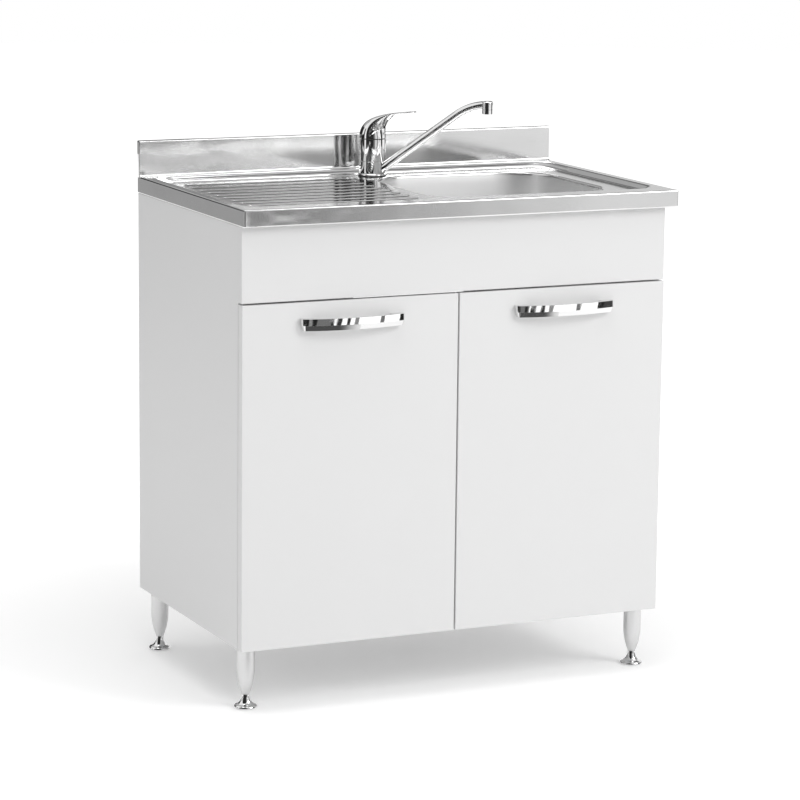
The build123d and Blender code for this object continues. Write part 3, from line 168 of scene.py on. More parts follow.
class Graph:
    """A node tree being built."""

    def __init__(self, tree):
        self.tree = tree

    def node(self, kind, values=(), **settings):
        """Adds a node, sets it up and feeds its sockets."""
        node = self.tree.nodes.new(kind)
        for name, value in settings.items():
            setattr(node, name, value)
        pairs = values.items() if isinstance(values, dict) else enumerate(values)
        for key, value in pairs:
            if isinstance(value, Wire):
                self.tree.links.new(value.socket, node.inputs[key])
            else:
                node.inputs[key].default_value = value
        return node

    def add(self, kind, values=(), output=0, **settings):
        """Adds a node and returns one of its outputs."""
        return Wire(self, self.node(kind, values, **settings).outputs[output])


class Paint(Graph):
    """A material being painted, with its Principled shader."""

    def __init__(self, name, **sockets):
        self.material = bpy.data.materials.new(name)
        self.material.use_nodes = True
        super().__init__(self.material.node_tree)
        self.shader = self.tree.nodes["Principled BSDF"]
        for socket, value in sockets.items():
            self.shader.inputs[socket.replace("_", " ")].default_value = value

    def feed(self, socket, wire):
        """Leads a wire into a socket of the shader."""
        self.tree.links.new(wire.socket, self.shader.inputs[socket])

    def place(self):
        """The point being painted, in metres in the unit's own frame."""
        return self.add("ShaderNodeTexCoord", output="Object")

    def place_along(self, axis):
        """The point's place along X, Y or Z."""
        return self.add("ShaderNodeSeparateXYZ", [self.place()], output="XYZ".index(axis))

    def noise(self, scale, stretch=(1, 1, 1), detail=2.0, rough=0.5):
        """Soft noise, about 1/scale metres across, finer along an axis that is stretched up."""
        spot = self.add("ShaderNodeMapping", {"Vector": self.place(), "Scale": stretch})
        values = {"Vector": spot, "Scale": scale, "Detail": detail, "Roughness": rough}
        return self.add("ShaderNodeTexNoise", values)

    def blend(self, factor, low, high):
        """A colour between two colours."""
        values = {0: factor, 6: (*low, 1), 7: (*high, 1)}
        return self.add("ShaderNodeMix", values, output=2, data_type="RGBA")

    def bump(self, height, rise):
        """Feeds the Normal with a height map that rises so many metres."""
        self.feed("Normal", self.add("ShaderNodeBump", {"Height": height, "Distance": rise}))


def shade(colour, factor):
    """A colour made darker or lighter."""
    return tuple(min(1.0, part * factor) for part in colour)


def paint_laminate():
    """White melamine: a very fine satin texture, with faint cloudy gloss."""
    tone = bpy.context.scene.sink_finish.laminate
    paint = Paint("white_laminate", Specular_IOR_Level=0.45)
    cloud = paint.noise(4, detail=3)
    grain = paint.noise(900, detail=1)
    paint.feed("Base Color", paint.blend(cloud, shade(tone, 0.985), tone))
    paint.feed("Roughness", cloud * 0.1 + grain * 0.06 + 0.36)
    paint.bump(grain + paint.noise(160, detail=2) * 0.6, 0.00003)
    return paint.material


def paint_steel():
    """Polished pressed sheet: near-mirror on top and satin down in the bowl, where the tone is painted
    lighter as painted light, with long rolling streaks, faint scuffs, and slight waves that grow towards the
    drainer's end."""
    tone = bpy.context.scene.sink_finish.steel
    paint = Paint("pressed_steel", Metallic=1.0)
    streak = paint.noise(60, stretch=(1, 26, 26), detail=4, rough=0.6)
    scuff = paint.noise(9, detail=4)
    wavy = paint.noise(6, stretch=(1, 1, 1.6), detail=1)
    buckle = paint.noise(15, stretch=(1, 1, 2.2), detail=1)
    x, y, z = [paint.place_along(axis) for axis in "XYZ"]
    left, right, front, fade = -0.03, 0.36, -0.22, 0.02
    # Mask of the bowl below the tray: it roughens the bowl to satin and also paints its tone lighter as
    # painted light.
    bowl_satin_and_painted_light = (tray - z).between(0.0, 0.008) * (y - front).between(0, fade)
    bowl_satin_and_painted_light = bowl_satin_and_painted_light * (x - left).between(0, fade) * (right - x).between(0, fade)
    drainer_end = (0 - x).between(0.05, 0.36)
    # Base colour: the scuffs' lighter marks are the sheet's own tone; the bowl's lighter tone is painted
    # light.
    light = scuff.math("MAXIMUM", scuff * 0.5, bowl_satin_and_painted_light)
    paint.feed("Base Color", paint.blend(light, shade(tone, 0.93), shade(tone, 1.22)))
    paint.feed("Roughness", streak * 0.06 + scuff * 0.05 + bowl_satin_and_painted_light * 0.34 + 0.05)
    paint.bump(wavy + buckle * (drainer_end * 0.8 + 0.1) + streak * 0.006, 0.0006)
    return paint.material


def paint_even(name, dark, light, scale, rough, rise, metallic=1.0, **noise):
    """A finish whose tone, gloss and relief follow one noise; rough is its least value and its spread."""
    paint = Paint(name, Metallic=metallic)
    mark = paint.noise(scale, **noise)
    least, spread = rough
    paint.feed("Base Color", paint.blend(mark, dark, light))
    paint.feed("Roughness", mark * spread + least)
    paint.bump(mark, rise)
    return paint.material


def paint_chrome():
    """Chrome plate: mirror bright with a breath of handling marks and the casting's slight waves."""
    tone = bpy.context.scene.sink_finish.chrome
    paint = Paint("mirror_chrome", Metallic=1.0)
    mark = paint.noise(40, detail=5, rough=0.6)
    paint.feed("Base Color", paint.blend(mark, shade(tone, 0.95), tone))
    paint.feed("Roughness", mark.between(0.45, 0.8) * 0.06 + 0.035)
    paint.bump(paint.noise(55, detail=0), 0.00008)
    return paint.material


def paint_plastic(name, tone, rough=0.32):
    """Moulded plastic with a little flow mottling."""
    paint = Paint(name, Specular_IOR_Level=0.5)
    flow = paint.noise(30, detail=3)
    spark = paint.noise(700, detail=1)
    paint.feed("Base Color", paint.blend(flow, shade(tone, 0.94), tone))
    paint.feed("Roughness", flow * 0.12 + spark * 0.06 + rough)
    paint.bump(spark, 0.00002)
    return paint.material


def paint_wood(name, dark, light, along):
    """Planed softwood: grain lines along one axis, with darker late wood."""
    paint = Paint(name, Specular_IOR_Level=0.3)
    stretch = tuple(0.06 if axis == along else 1.0 for axis in range(3))
    ring = paint.noise(130, stretch=stretch, detail=5, rough=0.55)
    pore = paint.noise(1500, stretch=stretch, detail=1)
    paint.feed("Base Color", paint.blend(ring.between(0.38, 0.66), dark, light))
    paint.feed("Roughness", pore * 0.2 + 0.5)
    paint.bump(ring + pore * 0.4, 0.00008)
    return paint.material


def make_finishes():
    """Every finish by its slot in the record."""
    steel, satin = bpy.context.scene.sink_finish.steel, bpy.context.scene.sink_finish.satin
    zinc = ((0.52, 0.54, 0.56), (0.68, 0.70, 0.71))
    nickel = ((0.60, 0.59, 0.57), (0.72, 0.71, 0.69))
    rubber = ((0.012, 0.012, 0.012), (0.03, 0.03, 0.031))
    brass = ((0.60, 0.40, 0.14), (0.80, 0.60, 0.28))
    stamped = (shade(steel, 0.9), steel)
    brushed = (shade(satin, 0.9), satin)
    round_leg, round_stem = (1, 1, 24), (1, 1, 12)
    return {
        "stainless_steel": paint_steel(),
        "strainer_steel": paint_even("strainer_steel", *stamped, 90, (0.14, 0.12), 0.00003, detail=4),
        "white_laminate": paint_laminate(),
        "hardboard": paint_plastic("white_hardboard", grey(0.90), rough=0.5),
        "plain_wood": paint_wood("planed_pine", (0.40, 0.24, 0.11), (0.66, 0.48, 0.28), along=1),
        "zinc_steel": paint_even("bright_zinc", *zinc, 260, (0.24, 0.2), 0.00002, detail=3),
        "hinge_steel": paint_even("hinge_nickel", *nickel, 180, (0.18, 0.12), 0.00001, detail=3),
        "leg_aluminium": paint_even(
            "satin_silver", *brushed, 120, (0.26, 0.12), 0.00002, stretch=round_leg, detail=3
        ),
        "polished_chrome": paint_chrome(),
        "trap_plastic": paint_plastic("white_waste_plastic", grey(0.93), rough=0.2),
        "black_rubber": paint_even("black_rubber", *rubber, 120, (0.6, 0.2), 0.00004, metallic=0.0, detail=4),
        "cartridge_plastic": paint_plastic("cartridge_grey", grey(0.62), rough=0.3),
        "cartridge_brass": paint_even(
            "turned_brass", *brass, 300, (0.22, 0.15), 0.00002, stretch=round_stem, detail=2
        ),
    }


slot_of = {part["node"]: part["material_slot"] for part in frame["record"]["subparts"]}
body_of = {node: body for body, held in frame["record"]["behaviour"]["bodies"].items() for node in held}
finishes = {}


def use_finish(piece, slot):
    """Gives a piece the finish of a slot."""
    piece.data.materials.clear()
    piece.data.materials.append(finishes[slot])


# ================================================================ mesh helpers
def new_piece(name, mesh):
    """A new object at the origin that holds a mesh."""
    piece = bpy.data.objects.new(name, mesh)
    bpy.context.scene.collection.objects.link(piece)
    return piece


def finish_piece(piece, body, slot, *replaced, angle=smooth_angle):
    """Smooths, paints and rides a finished piece, and hides the nodes that it stands for."""
    if angle:
        piece.data.shade_smooth()
        piece.data.set_sharp_from_angle(angle=angle)
    use_finish(piece, slot)
    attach(piece, body)
    if replaced:
        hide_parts(*replaced)
    return piece


def settle(piece):
    """Turns what a piece's modifiers make into its plain mesh."""
    graph = bpy.context.evaluated_depsgraph_get()
    graph.update()
    mesh = bpy.data.meshes.new_from_object(piece.evaluated_get(graph))
    piece.modifiers.clear()
    old = piece.data
    piece.data = mesh
    bpy.data.meshes.remove(old)
    return piece


def thicken(piece, thickness):
    """Gives a skin its sheet's thickness, inwards."""
    skin = piece.modifiers.new("sheet", "SOLIDIFY")
    skin.thickness = thickness
    skin.offset = -1
    settle(piece)


def soften(node, name, width, segments=3, angle=30, dissolve=True):
    """A welded copy of a node with its edges rounded, in place of the node."""
    mesh = nodes[node].data.copy()
    work = bmesh.new()
    work.from_mesh(mesh)
    bmesh.ops.remove_doubles(work, verts=work.verts, dist=weld)
    if dissolve:
        bmesh.ops.dissolve_limit(work, angle_limit=radians(0.5), verts=work.verts, edges=work.edges)
    work.to_mesh(mesh)
    work.free()
    mesh.shade_smooth()
    piece = new_piece(name, mesh)
    bevel = piece.modifiers.new("round", "BEVEL")
    bevel.width = width
    bevel.segments = segments
    bevel.limit_method = "ANGLE"
    bevel.angle_limit = radians(angle)
    bevel.miter_outer = "MITER_ARC"
    flats = piece.modifiers.new("flats", "WEIGHTED_NORMAL")
    flats.keep_sharp = False
    settle(piece)
    return finish_piece(piece, body_of[node], slot_of[node], node, angle=None)


def loop_mesh(name, *skins, closed=True, solid=False):
    """Sheets through rows of loops, a row's loops all of as many points; a solid's ends are filled."""
    work = bmesh.new()
    for loops in skins:
        rows = [[work.verts.new(point) for point in loop] for loop in loops]
        count = len(loops[0])
        span = count if closed else count - 1
        for lower, upper in zip(rows, rows[1:]):
            for i in range(span):
                j = (i + 1) % count
                work.faces.new((lower[i], lower[j], upper[j], upper[i]))
        if solid and loops[0] != loops[-1]:
            work.faces.new(rows[0])
            work.faces.new(rows[-1])
    if solid:
        bmesh.ops.remove_doubles(work, verts=work.verts, dist=weld)
        bmesh.ops.recalc_face_normals(work, faces=work.faces)
    mesh = bpy.data.meshes.new(name)
    work.to_mesh(mesh)
    work.free()
    return mesh


# ================================================================ pressed sink top
def rounded_loop(centre, half_x, half_y, corner, z):
    """A level rectangle with rounded corners, always with as many points on each side and corner."""
    corners = ((1, -1), (1, 1), (-1, 1), (-1, -1))
    corner_steps, side_steps = 14, (18, 26)

    def spot(k, degrees):
        """The point at an angle on the arc of corner k."""
        way_x, way_y = corners[k % 4]
        pivot = Vector((centre[0] + way_x * (half_x - corner), centre[1] + way_y * (half_y - corner)))
        turn = radians(degrees)
        return pivot + corner * Vector((cos(turn), sin(turn)))

    points = []
    for k in range(4):
        start = 90 * k - 90
        for i in range(corner_steps + 1):
            points.append(spot(k, start + 90 * i / corner_steps))
        last, first = spot(k, start + 90), spot(k + 1, start + 90)
        steps = side_steps[k % 2]
        for i in range(1, steps):
            points.append(last.lerp(first, i / steps))
    return [(*point, z) for point in points]


def arc_steps(radius, start, end, count):
    """Offsets along an arc: how far in and how far down it is, from start to end degrees."""
    for i in range(count + 1):
        turn = radians(start + (end - start) * i / count)
        yield radius * (1 - cos(turn)), radius * sin(turn)


def build_pressing(name):
    """The pressed sheet: hem, apron, rim, stepped tray, bowl and drain hole, as one skin."""
    pressing = bpy.context.scene.sink_pressing
    low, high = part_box("sink_top")
    strainer_low, strainer_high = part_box("strainer_body")
    centre = (0.0, (low.y + high.y) / 2)
    half_x, half_y = (high.x - low.x) / 2, (high.y - low.y) / 2
    edge, hem, lip, run = pressing.edge, pressing.hem, pressing.lip, pressing.step_run
    least_corner = 0.6 * mm

    def rect(inset, z):
        return rounded_loop(centre, half_x - inset, half_y - inset, max(edge - inset, least_corner), z)

    # The hem, the apron and the rim. Loops just beside each bend keep its shading tight.
    bend_steps = 5
    loops = [rect(hem, rim_bottom), rect(hem / 2, rim_bottom), rect(edge + 0.3 * mm, rim_bottom)]
    for inward, down in arc_steps(edge, 90, 0, bend_steps):
        loops.append(rect(inward, rim_bottom + edge - down))
    loops.append(rect(0, rim_bottom + edge + 0.5 * mm))
    loops.append(rect(0, (rim_bottom + rim_top) / 2))
    loops.append(rect(0, rim_top - edge - 0.5 * mm))
    for inward, up in arc_steps(edge, 0, 90, bend_steps):
        loops.append(rect(inward, rim_top - edge + up))
    loops.append(rect(edge + 0.6 * mm, rim_top))

    # The step round the tray: a crisp shoulder, a slope and a hollow foot.
    step_left, step_right = low.x + pressing.side_rim, high.x - pressing.side_rim
    step_front, step_rear = low.y + pressing.front_rim, high.y - pressing.rear_rim
    step_centre = ((step_left + step_right) / 2, (step_front + step_rear) / 2)
    step_x, step_y = (step_right - step_left) / 2, (step_rear - step_front) / 2

    def step(inset, z):
        return rounded_loop(step_centre, step_x - inset, step_y - inset, pressing.tray_corner - inset / 2, z)

    lead, shoulder, foot_end, field_start = 2.5 * mm, -0.08, 1.1, 1.15
    loops.append(step(-lead, rim_top))
    for share in (shoulder, 0, 0.08, 0.2, 0.35, 0.5, 0.65, 0.8, 0.92, 1.0, foot_end):
        fall = min(max((share - shoulder) / (foot_end - shoulder), 0), 1)
        loops.append(step(run * share, rim_top - step_drop * fall * fall * (3 - 2 * fall)))
    field_edge = step(run * field_start, tray)

    drain = ((strainer_low.x + strainer_high.x) / 2, (strainer_low.y + strainer_high.y) / 2)
    bowl_x, bowl_y = pressing.bowl_width / 2, pressing.bowl_length / 2
    strainer_sheet = 1.5 * mm
    bowl_floor = strainer_high.z - strainer_sheet
    corner_share = 0.9

    def bowl(inset, z):
        corner = pressing.bowl_corner - inset * corner_share
        return rounded_loop(drain, bowl_x - inset, bowl_y - inset, corner, z)

    # The field between the step and the bowl's mouth, which dishes towards the drainer's middle.
    mouth = bowl(-lip, tray)
    field_rings = 22
    dish_middle = (step_left + run + drain[0] - bowl_x) / 2
    dish_reach = (drain[0] - bowl_x - step_left - run) / 2
    for i in range(field_rings):
        share = i / field_rings
        loop = []
        for start, end in zip(field_edge, mouth):
            x = start[0] + (end[0] - start[0]) * share
            y = start[1] + (end[1] - start[1]) * share
            across = max(0.0, 1 - ((x - dish_middle) / dish_reach) ** 2)
            along = max(0.0, 1 - ((y - step_centre[1]) / (step_y - run)) ** 2)
            loop.append((x, y, tray - pressing.dish * across * along))
        loops.append(loop)

    # The bowl: its rolled lip, drafted walls, round foot and floor with the drain's hole.
    loops.append(bowl(-lip - 0.4 * mm, tray))
    draft = 3
    lip_steps, wall_steps, foot_steps, floor_steps = 7, 8, 10, 8
    for i in range(lip_steps + 1):
        turn = radians((90 - draft) * i / lip_steps)
        loops.append(bowl(-lip + lip * sin(turn), tray - lip * (1 - cos(turn))))
    lean, foot = tan(radians(draft)), pressing.bowl_foot
    foot_top = bowl_floor + foot
    for i in range(1, wall_steps + 1):
        z = tray - lip + (foot_top - tray + lip) * i / wall_steps
        loops.append(bowl((tray - z) * lean, z))
    wall = (tray - foot_top) * lean
    for i in range(1, foot_steps + 1):
        turn = radians(90 * i / foot_steps)
        loops.append(bowl(wall + foot * (1 - cos(turn)), foot_top - foot * sin(turn)))
    floor_edge = bowl(wall + foot, bowl_floor)
    for i in range(1, floor_steps + 1):
        loop = []
        for x, y, z in floor_edge:
            away = Vector((x - drain[0], y - drain[1]))
            rim = away.normalized() * pressing.drain_hole
            loop.append((*(Vector(drain) + away.lerp(rim, i / floor_steps)), z))
        loops.append(loop)
    return loop_mesh(name, loops)


class SINK_OT_pressing(bpy.types.Operator):
    """Makes the pressed sink top with its upstand"""

    bl_idname = "sink.pressing"
    bl_label = "Pressed sink top"

    def execute(self, context):
        pressing = context.scene.sink_pressing
        sheet = new_piece("sink_pressing", build_pressing("sink_pressing"))
        thicken(sheet, pressing.sheet)
        finish_piece(sheet, "cabinet", "stainless_steel", "sink_top", "sink_bowl", angle=sheet_angle)

        upstand = new_piece("sink_upstand", self.upstand_mesh(pressing))
        thicken(upstand, pressing.sheet)
        finish_piece(upstand, "cabinet", "stainless_steel", "sink_top", angle=sheet_angle)
        return {"FINISHED"}

    def upstand_mesh(self, pressing):
        """The upstand: a folded sheet whose foot runs smoothly out of the rim."""
        low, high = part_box("sink_top")
        back_inset, over_rim, under_rim, on_rim, beside = [size * mm for size in (0.15, 0.02, 3.5, 2, 0.5)]
        front, back = high.y - pressing.upstand, high.y - back_inset
        foot, crown = pressing.upstand_foot, pressing.upstand_crown
        turns = [radians(degrees) for degrees in range(0, 91, 15)]
        section = [(front - foot - on_rim, rim_top + over_rim)]
        section += [(front - foot + foot * sin(turn), rim_top + foot * (1 - cos(turn))) for turn in turns]
        section += [(front, rim_top + foot + beside), (front, high.z - crown - beside)]
        section += [(front + crown * (1 - cos(turn)), high.z - crown + crown * sin(turn)) for turn in turns]
        section += [(back - crown + crown * sin(turn), high.z - crown * (1 - cos(turn))) for turn in turns]
        section += [(back, high.z - crown - beside), (back, rim_top - under_rim)]
        count, near_end = 24, 0.8 * mm
        spots = [low.x, low.x + near_end]
        spots += [low.x + (high.x - low.x) * i / count for i in range(1, count)]
        spots += [high.x - near_end, high.x]
        mesh = loop_mesh("sink_upstand", [[(x, y, z) for y, z in section] for x in spots], closed=False)
        work = bmesh.new()
        work.from_mesh(mesh)
        for x in (low.x, high.x):
            work.faces.new([vert for vert in work.verts if abs(vert.co.x - x) < 0.01 * mm])
        bmesh.ops.recalc_face_normals(work, faces=work.faces)
        work.to_mesh(mesh)
        work.free()
        return mesh


# ================================================================ drainer ribs
class SINK_OT_ribs(bpy.types.Operator):
    """Presses the ribs into the drainer"""

    bl_idname = "sink.ribs"
    bl_label = "Drainer ribs"

    def execute(self, context):
        pressing = context.scene.sink_pressing
        tree = self.rib_tree()
        carrier = new_piece("drainer_ribs", bpy.data.meshes.new("drainer_ribs"))
        modifier = carrier.modifiers.new("ribs", "NODES")
        modifier.node_group = tree
        low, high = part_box("sink_top")
        middle = (low.y + pressing.front_rim + high.y - pressing.rear_rim) / 2
        values = {
            "Ribs": pressing.ribs,
            "Pitch": pressing.rib_pitch,
            "Height": pressing.rib_height,
            "Length": pressing.rib_length,
            "Width": pressing.rib_width,
            "Start": (low.x + pressing.rib_place, middle, tray),
            "Dish": pressing.dish,
            "Finish": finishes["stainless_steel"],
        }
        for item in tree.interface.items_tree:
            if item.in_out == "INPUT" and item.name in values:
                modifier[item.identifier] = values[item.name]
        settle(carrier)
        finish_piece(carrier, "cabinet", "stainless_steel", angle=sheet_angle)
        return {"FINISHED"}

    def rib_tree(self):
        """Geometry nodes: a row of low domed ribs, each a grid raised by its distance from a line."""
        tree = bpy.data.node_groups.new("drainer_ribs", "GeometryNodeTree")
        face = tree.interface
        face.new_socket("Geometry", in_out="INPUT", socket_type="NodeSocketGeometry")
        kinds = {"Ribs": "Int", "Start": "Vector", "Finish": "Material"}
        for name in ("Ribs", "Pitch", "Height", "Length", "Width", "Dish", "Start", "Finish"):
            face.new_socket(name, in_out="INPUT", socket_type="NodeSocket" + kinds.get(name, "Float"))
        face.new_socket("Geometry", in_out="OUTPUT", socket_type="NodeSocketGeometry")
        group = Graph(tree)
        given = group.node("NodeGroupInput")
        inputs = {socket.name: Wire(group, socket) for socket in given.outputs}

        grid = group.add(
            "GeometryNodeMeshGrid",
            {"Size X": inputs["Length"], "Size Y": inputs["Width"], "Vertices X": 120, "Vertices Y": 21},
        )
        spot = group.add("GeometryNodeInputPosition")
        parts = group.node("ShaderNodeSeparateXYZ", {0: spot})
        x, y = Wire(group, parts.outputs[0]), Wire(group, parts.outputs[1])

        # The rows crowd towards the ends, where the rib rounds off.
        reach = x.math("DIVIDE", x, inputs["Length"] * 0.5)
        crowded = (reach * 1.5 - reach**3.0 * 0.5) * inputs["Length"] * 0.5
        shift = group.add("ShaderNodeCombineXYZ", {0: crowded - x})
        grid = group.add("GeometryNodeSetPosition", {"Geometry": grid, "Offset": shift})
        half = inputs["Length"] * 0.5 - inputs["Width"] * 0.5
        beyond = x.math("MAXIMUM", x.math("ABSOLUTE", x) - half, 0.0)
        away = x.math("SQRT", beyond * beyond + y * y)
        share = away.math("MINIMUM", away.math("DIVIDE", away, inputs["Width"] * 0.5), 1.0)
        flat_share, foot_share, sunk_foot = 0.42, 0.95, 0.2 * mm
        crown = 1 - share.between(flat_share, foot_share)
        rise = inputs["Height"] * crown - sunk_foot
        lift = group.add("ShaderNodeCombineXYZ", {2: rise})
        raised = group.add("GeometryNodeSetPosition", {"Geometry": grid, "Offset": lift})

        back = inputs["Pitch"] * ((inputs["Ribs"] - 1) * -0.5)
        first = group.add(
            "ShaderNodeVectorMath",
            [inputs["Start"], group.add("ShaderNodeCombineXYZ", {1: back})],
            operation="ADD",
        )
        step = group.add("ShaderNodeCombineXYZ", {1: inputs["Pitch"]})
        row = group.add(
            "GeometryNodeMeshLine",
            {"Count": inputs["Ribs"], "Start Location": first, "Offset": step},
            mode="OFFSET",
        )
        placed = group.add("GeometryNodeInstanceOnPoints", {"Points": row, "Instance": raised})
        real = group.add("GeometryNodeRealizeInstances", {0: placed})

        # Each rib follows the field's dish.
        local = group.add(
            "ShaderNodeVectorMath",
            [group.add("GeometryNodeInputPosition"), inputs["Start"]],
            operation="SUBTRACT",
        )
        parts = group.node("ShaderNodeSeparateXYZ", {0: local})
        across, along = Wire(group, parts.outputs[0]), Wire(group, parts.outputs[1])
        dish_x, dish_y = 0.176, 0.205
        across = 1 - (across * (1 / dish_x)) ** 2.0
        along = 1 - (along * (1 / dish_y)) ** 2.0
        fall = across.math("MAXIMUM", across, 0.0) * along.math("MAXIMUM", along, 0.0) * inputs["Dish"] * -1
        sunk = group.add(
            "GeometryNodeSetPosition",
            {"Geometry": real, "Offset": group.add("ShaderNodeCombineXYZ", {2: fall})},
        )
        painted = group.add("GeometryNodeSetMaterial", {"Geometry": sunk, "Material": inputs["Finish"]})
        group.node("NodeGroupOutput", {0: painted})
        return tree


# ================================================================ boards, handles and tap
class SINK_OT_boards(bpy.types.Operator):
    """Eases the edges of the laminated boards"""

    bl_idname = "sink.boards"
    bl_label = "Laminated boards"

    def execute(self, context):
        carcass = ("left_side_panel", "right_side_panel", "bottom_panel", "front_rail", "rear_rail")
        for node in carcass:
            soften(node, node + "_board", width=0.4 * mm, segments=2)
        for node in ("left_door", "right_door", "fascia_panel"):
            soften(node, node + "_front", width=0.5 * mm, segments=2)
        return {"FINISHED"}


class SINK_OT_chrome(bpy.types.Operator):
    """Rounds the edges of the handles and of the tap's column, foot ring and aerator"""

    bl_idname = "sink.chrome"
    bl_label = "Handles and tap"

    def execute(self, context):
        for side in ("left", "right"):
            soften(f"{side}_handle", f"{side}_handle_bow", width=0.3 * mm, angle=15, dissolve=False)
        soften("tap_body", "tap_column", width=0.4 * mm)
        soften("tap_base_ring", "tap_foot_ring", width=0.5 * mm)
        soften("aerator", "aerator_ring", width=0.5 * mm)
        return {"FINISHED"}


# ================================================================ lever and spout
# The tap's sizes are in millimetres, out from its axis and up from the tray.
tap_low, tap_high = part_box("tap_body")
tap_axis = (tap_low + tap_high) / 2
tap_way = radians(-52)
tap_radius = 23.5
eased = 0.4
pinhole = 0.5
ring_turns = [radians(5 * i) for i in range(72)]


def by_tap(out, aside, up):
    """A point so many millimetres out from the tap's axis along the lever, aside of it and over the deck."""
    x = tap_axis.x + (out * cos(tap_way) - aside * sin(tap_way)) * mm
    y = tap_axis.y + (out * sin(tap_way) + aside * cos(tap_way)) * mm
    return (x, y, tray + up * mm)


def level_ring(radius, up, out=0.0):
    """A level ring round the tap's axis, or round a line further out."""
    return [by_tap(out - radius * cos(turn), radius * sin(turn), up) for turn in ring_turns]


def curve_point(start, end, share):
    """A point of a smooth curve; each end is its place and its way."""
    (p0, way0), (p3, way3) = [(Vector(place), Vector(way).normalized()) for place, way in (start, end)]
    reach = (p3 - p0).length / 3
    p1, p2, left = p0 + way0 * reach, p3 - way3 * reach, 1 - share
    return p0 * left**3 + p1 * (3 * share * left**2) + p2 * (3 * share**2 * left) + p3 * share**3


class SINK_OT_lever(bpy.types.Operator):
    """Makes the lever: a round cap that flows out into the paddle"""

    bl_idname = "sink.lever"
    bl_label = "Lever"

    def execute(self, context):
        rings = self.hollow() + self.outside()
        lever = new_piece("lever_paddle", loop_mesh("lever_paddle", rings, solid=True))
        screw_low, screw_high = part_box("lever_screw")
        height = ((screw_low.z + screw_high.z) / 2 - tray) / mm
        radius, bore_start, bore_end = 2.55, 12, 60
        bore = [
            [by_tap(out, radius * cos(turn), height + radius * sin(turn)) for turn in ring_turns[::3]]
            for out in (bore_start, bore_end)
        ]
        cutter = new_piece("screw_bore", loop_mesh("screw_bore", bore, solid=True))
        cut = lever.modifiers.new("bore", "BOOLEAN")
        cut.object = cutter
        cut.solver = "EXACT"
        settle(lever)
        bpy.data.objects.remove(cutter)
        finish_piece(lever, "lever", "polished_chrome", "lever")
        return {"FINISHED"}

    def hollow(self):
        """The round hollow over the cartridge, with the boss that holds the stem."""
        # Radius, open end and spring of the dome; radius, lower end and root of the boss.
        inner, floor, dome = 20.5, 67, 71
        boss, boss_end, boss_top = 8, 82, 89.5
        rings = [(pinhole, boss_end), (boss - eased, boss_end), (boss, boss_end + eased), (boss, boss_top)]
        for turn in range(65, -1, -13):
            rings.append((inner * cos(radians(turn)), dome + inner * sin(radians(turn))))
        rings += [(inner, floor), (tap_radius - eased, floor)]
        return [level_ring(*ring) for ring in rings]

    def outside(self):
        """Rings between the lever's back and its underside, from the cap's foot to the paddle's tip."""
        # Both lines pass through these places, out and up, and take these ways there.
        back = (
            ((-23.5, 67.4), (0, 1)),
            ((-23.5, 71), (0, 1)),
            ((-7, 98.5), (1.6, 1)),
            ((31, 112), (1, 0.2)),
            ((86, 119.5), (1, 0.14)),
        )
        under = (
            ((23.5, 67.4), (0, 1)),
            ((23.5, 70), (0, 1)),
            ((23.5, 88), (0.25, 1)),
            ((40.5, 108), (1.6, 1)),
            ((86, 115.9), (1, 0.14)),
        )
        paddle = 3
        loops = []
        for stretch, steps in enumerate((3, 18, 18, 34)):
            for i in range(steps + (stretch == paddle)):
                share = sin(radians(90 * i / steps)) if stretch == paddle else i / steps
                top = curve_point(back[stretch], back[stretch + 1], share)
                low = curve_point(under[stretch], under[stretch + 1], share)
                loops.append(self.ring((top + low) / 2, (top - low) / 2))
        return loops

    def ring(self, middle, half):
        """A ring from back to underside, as wide as the lever is there: round at the cap, straight along
        the flanks and round again at the tip, and squarer in section along the paddle."""
        flank, flank_width, flank_slope = 4.17, 23.13, 0.1805
        tip, tip_middle, tip_radius = 77.8, 76, 10
        nose, nose_length = 83, 3
        paddle, paddle_run, most_square = 10, 40, 0.6
        thinnest = 0.01
        out = middle.x
        if out < flank:
            width = sqrt(tap_radius**2 - out**2)
        elif out < tip:
            width = flank_width - (out - flank) * flank_slope
        else:
            width = sqrt(max(tip_radius**2 - (out - tip_middle) ** 2, thinnest))
        rounding = sqrt(max(1 - (max(out - nose, 0) / nose_length) ** 2, thinnest))
        squareness = 2 + most_square * min(max((out - paddle) / paddle_run, 0), 1)
        loop = []
        for turn in ring_turns:
            across, over = sin(turn), cos(turn)
            size = (abs(across) ** squareness + abs(over) ** squareness) ** (-1 / squareness)
            place = middle + half * (over * size * rounding)
            loop.append(by_tap(place.x, width * across * size, place.y))
        return loop


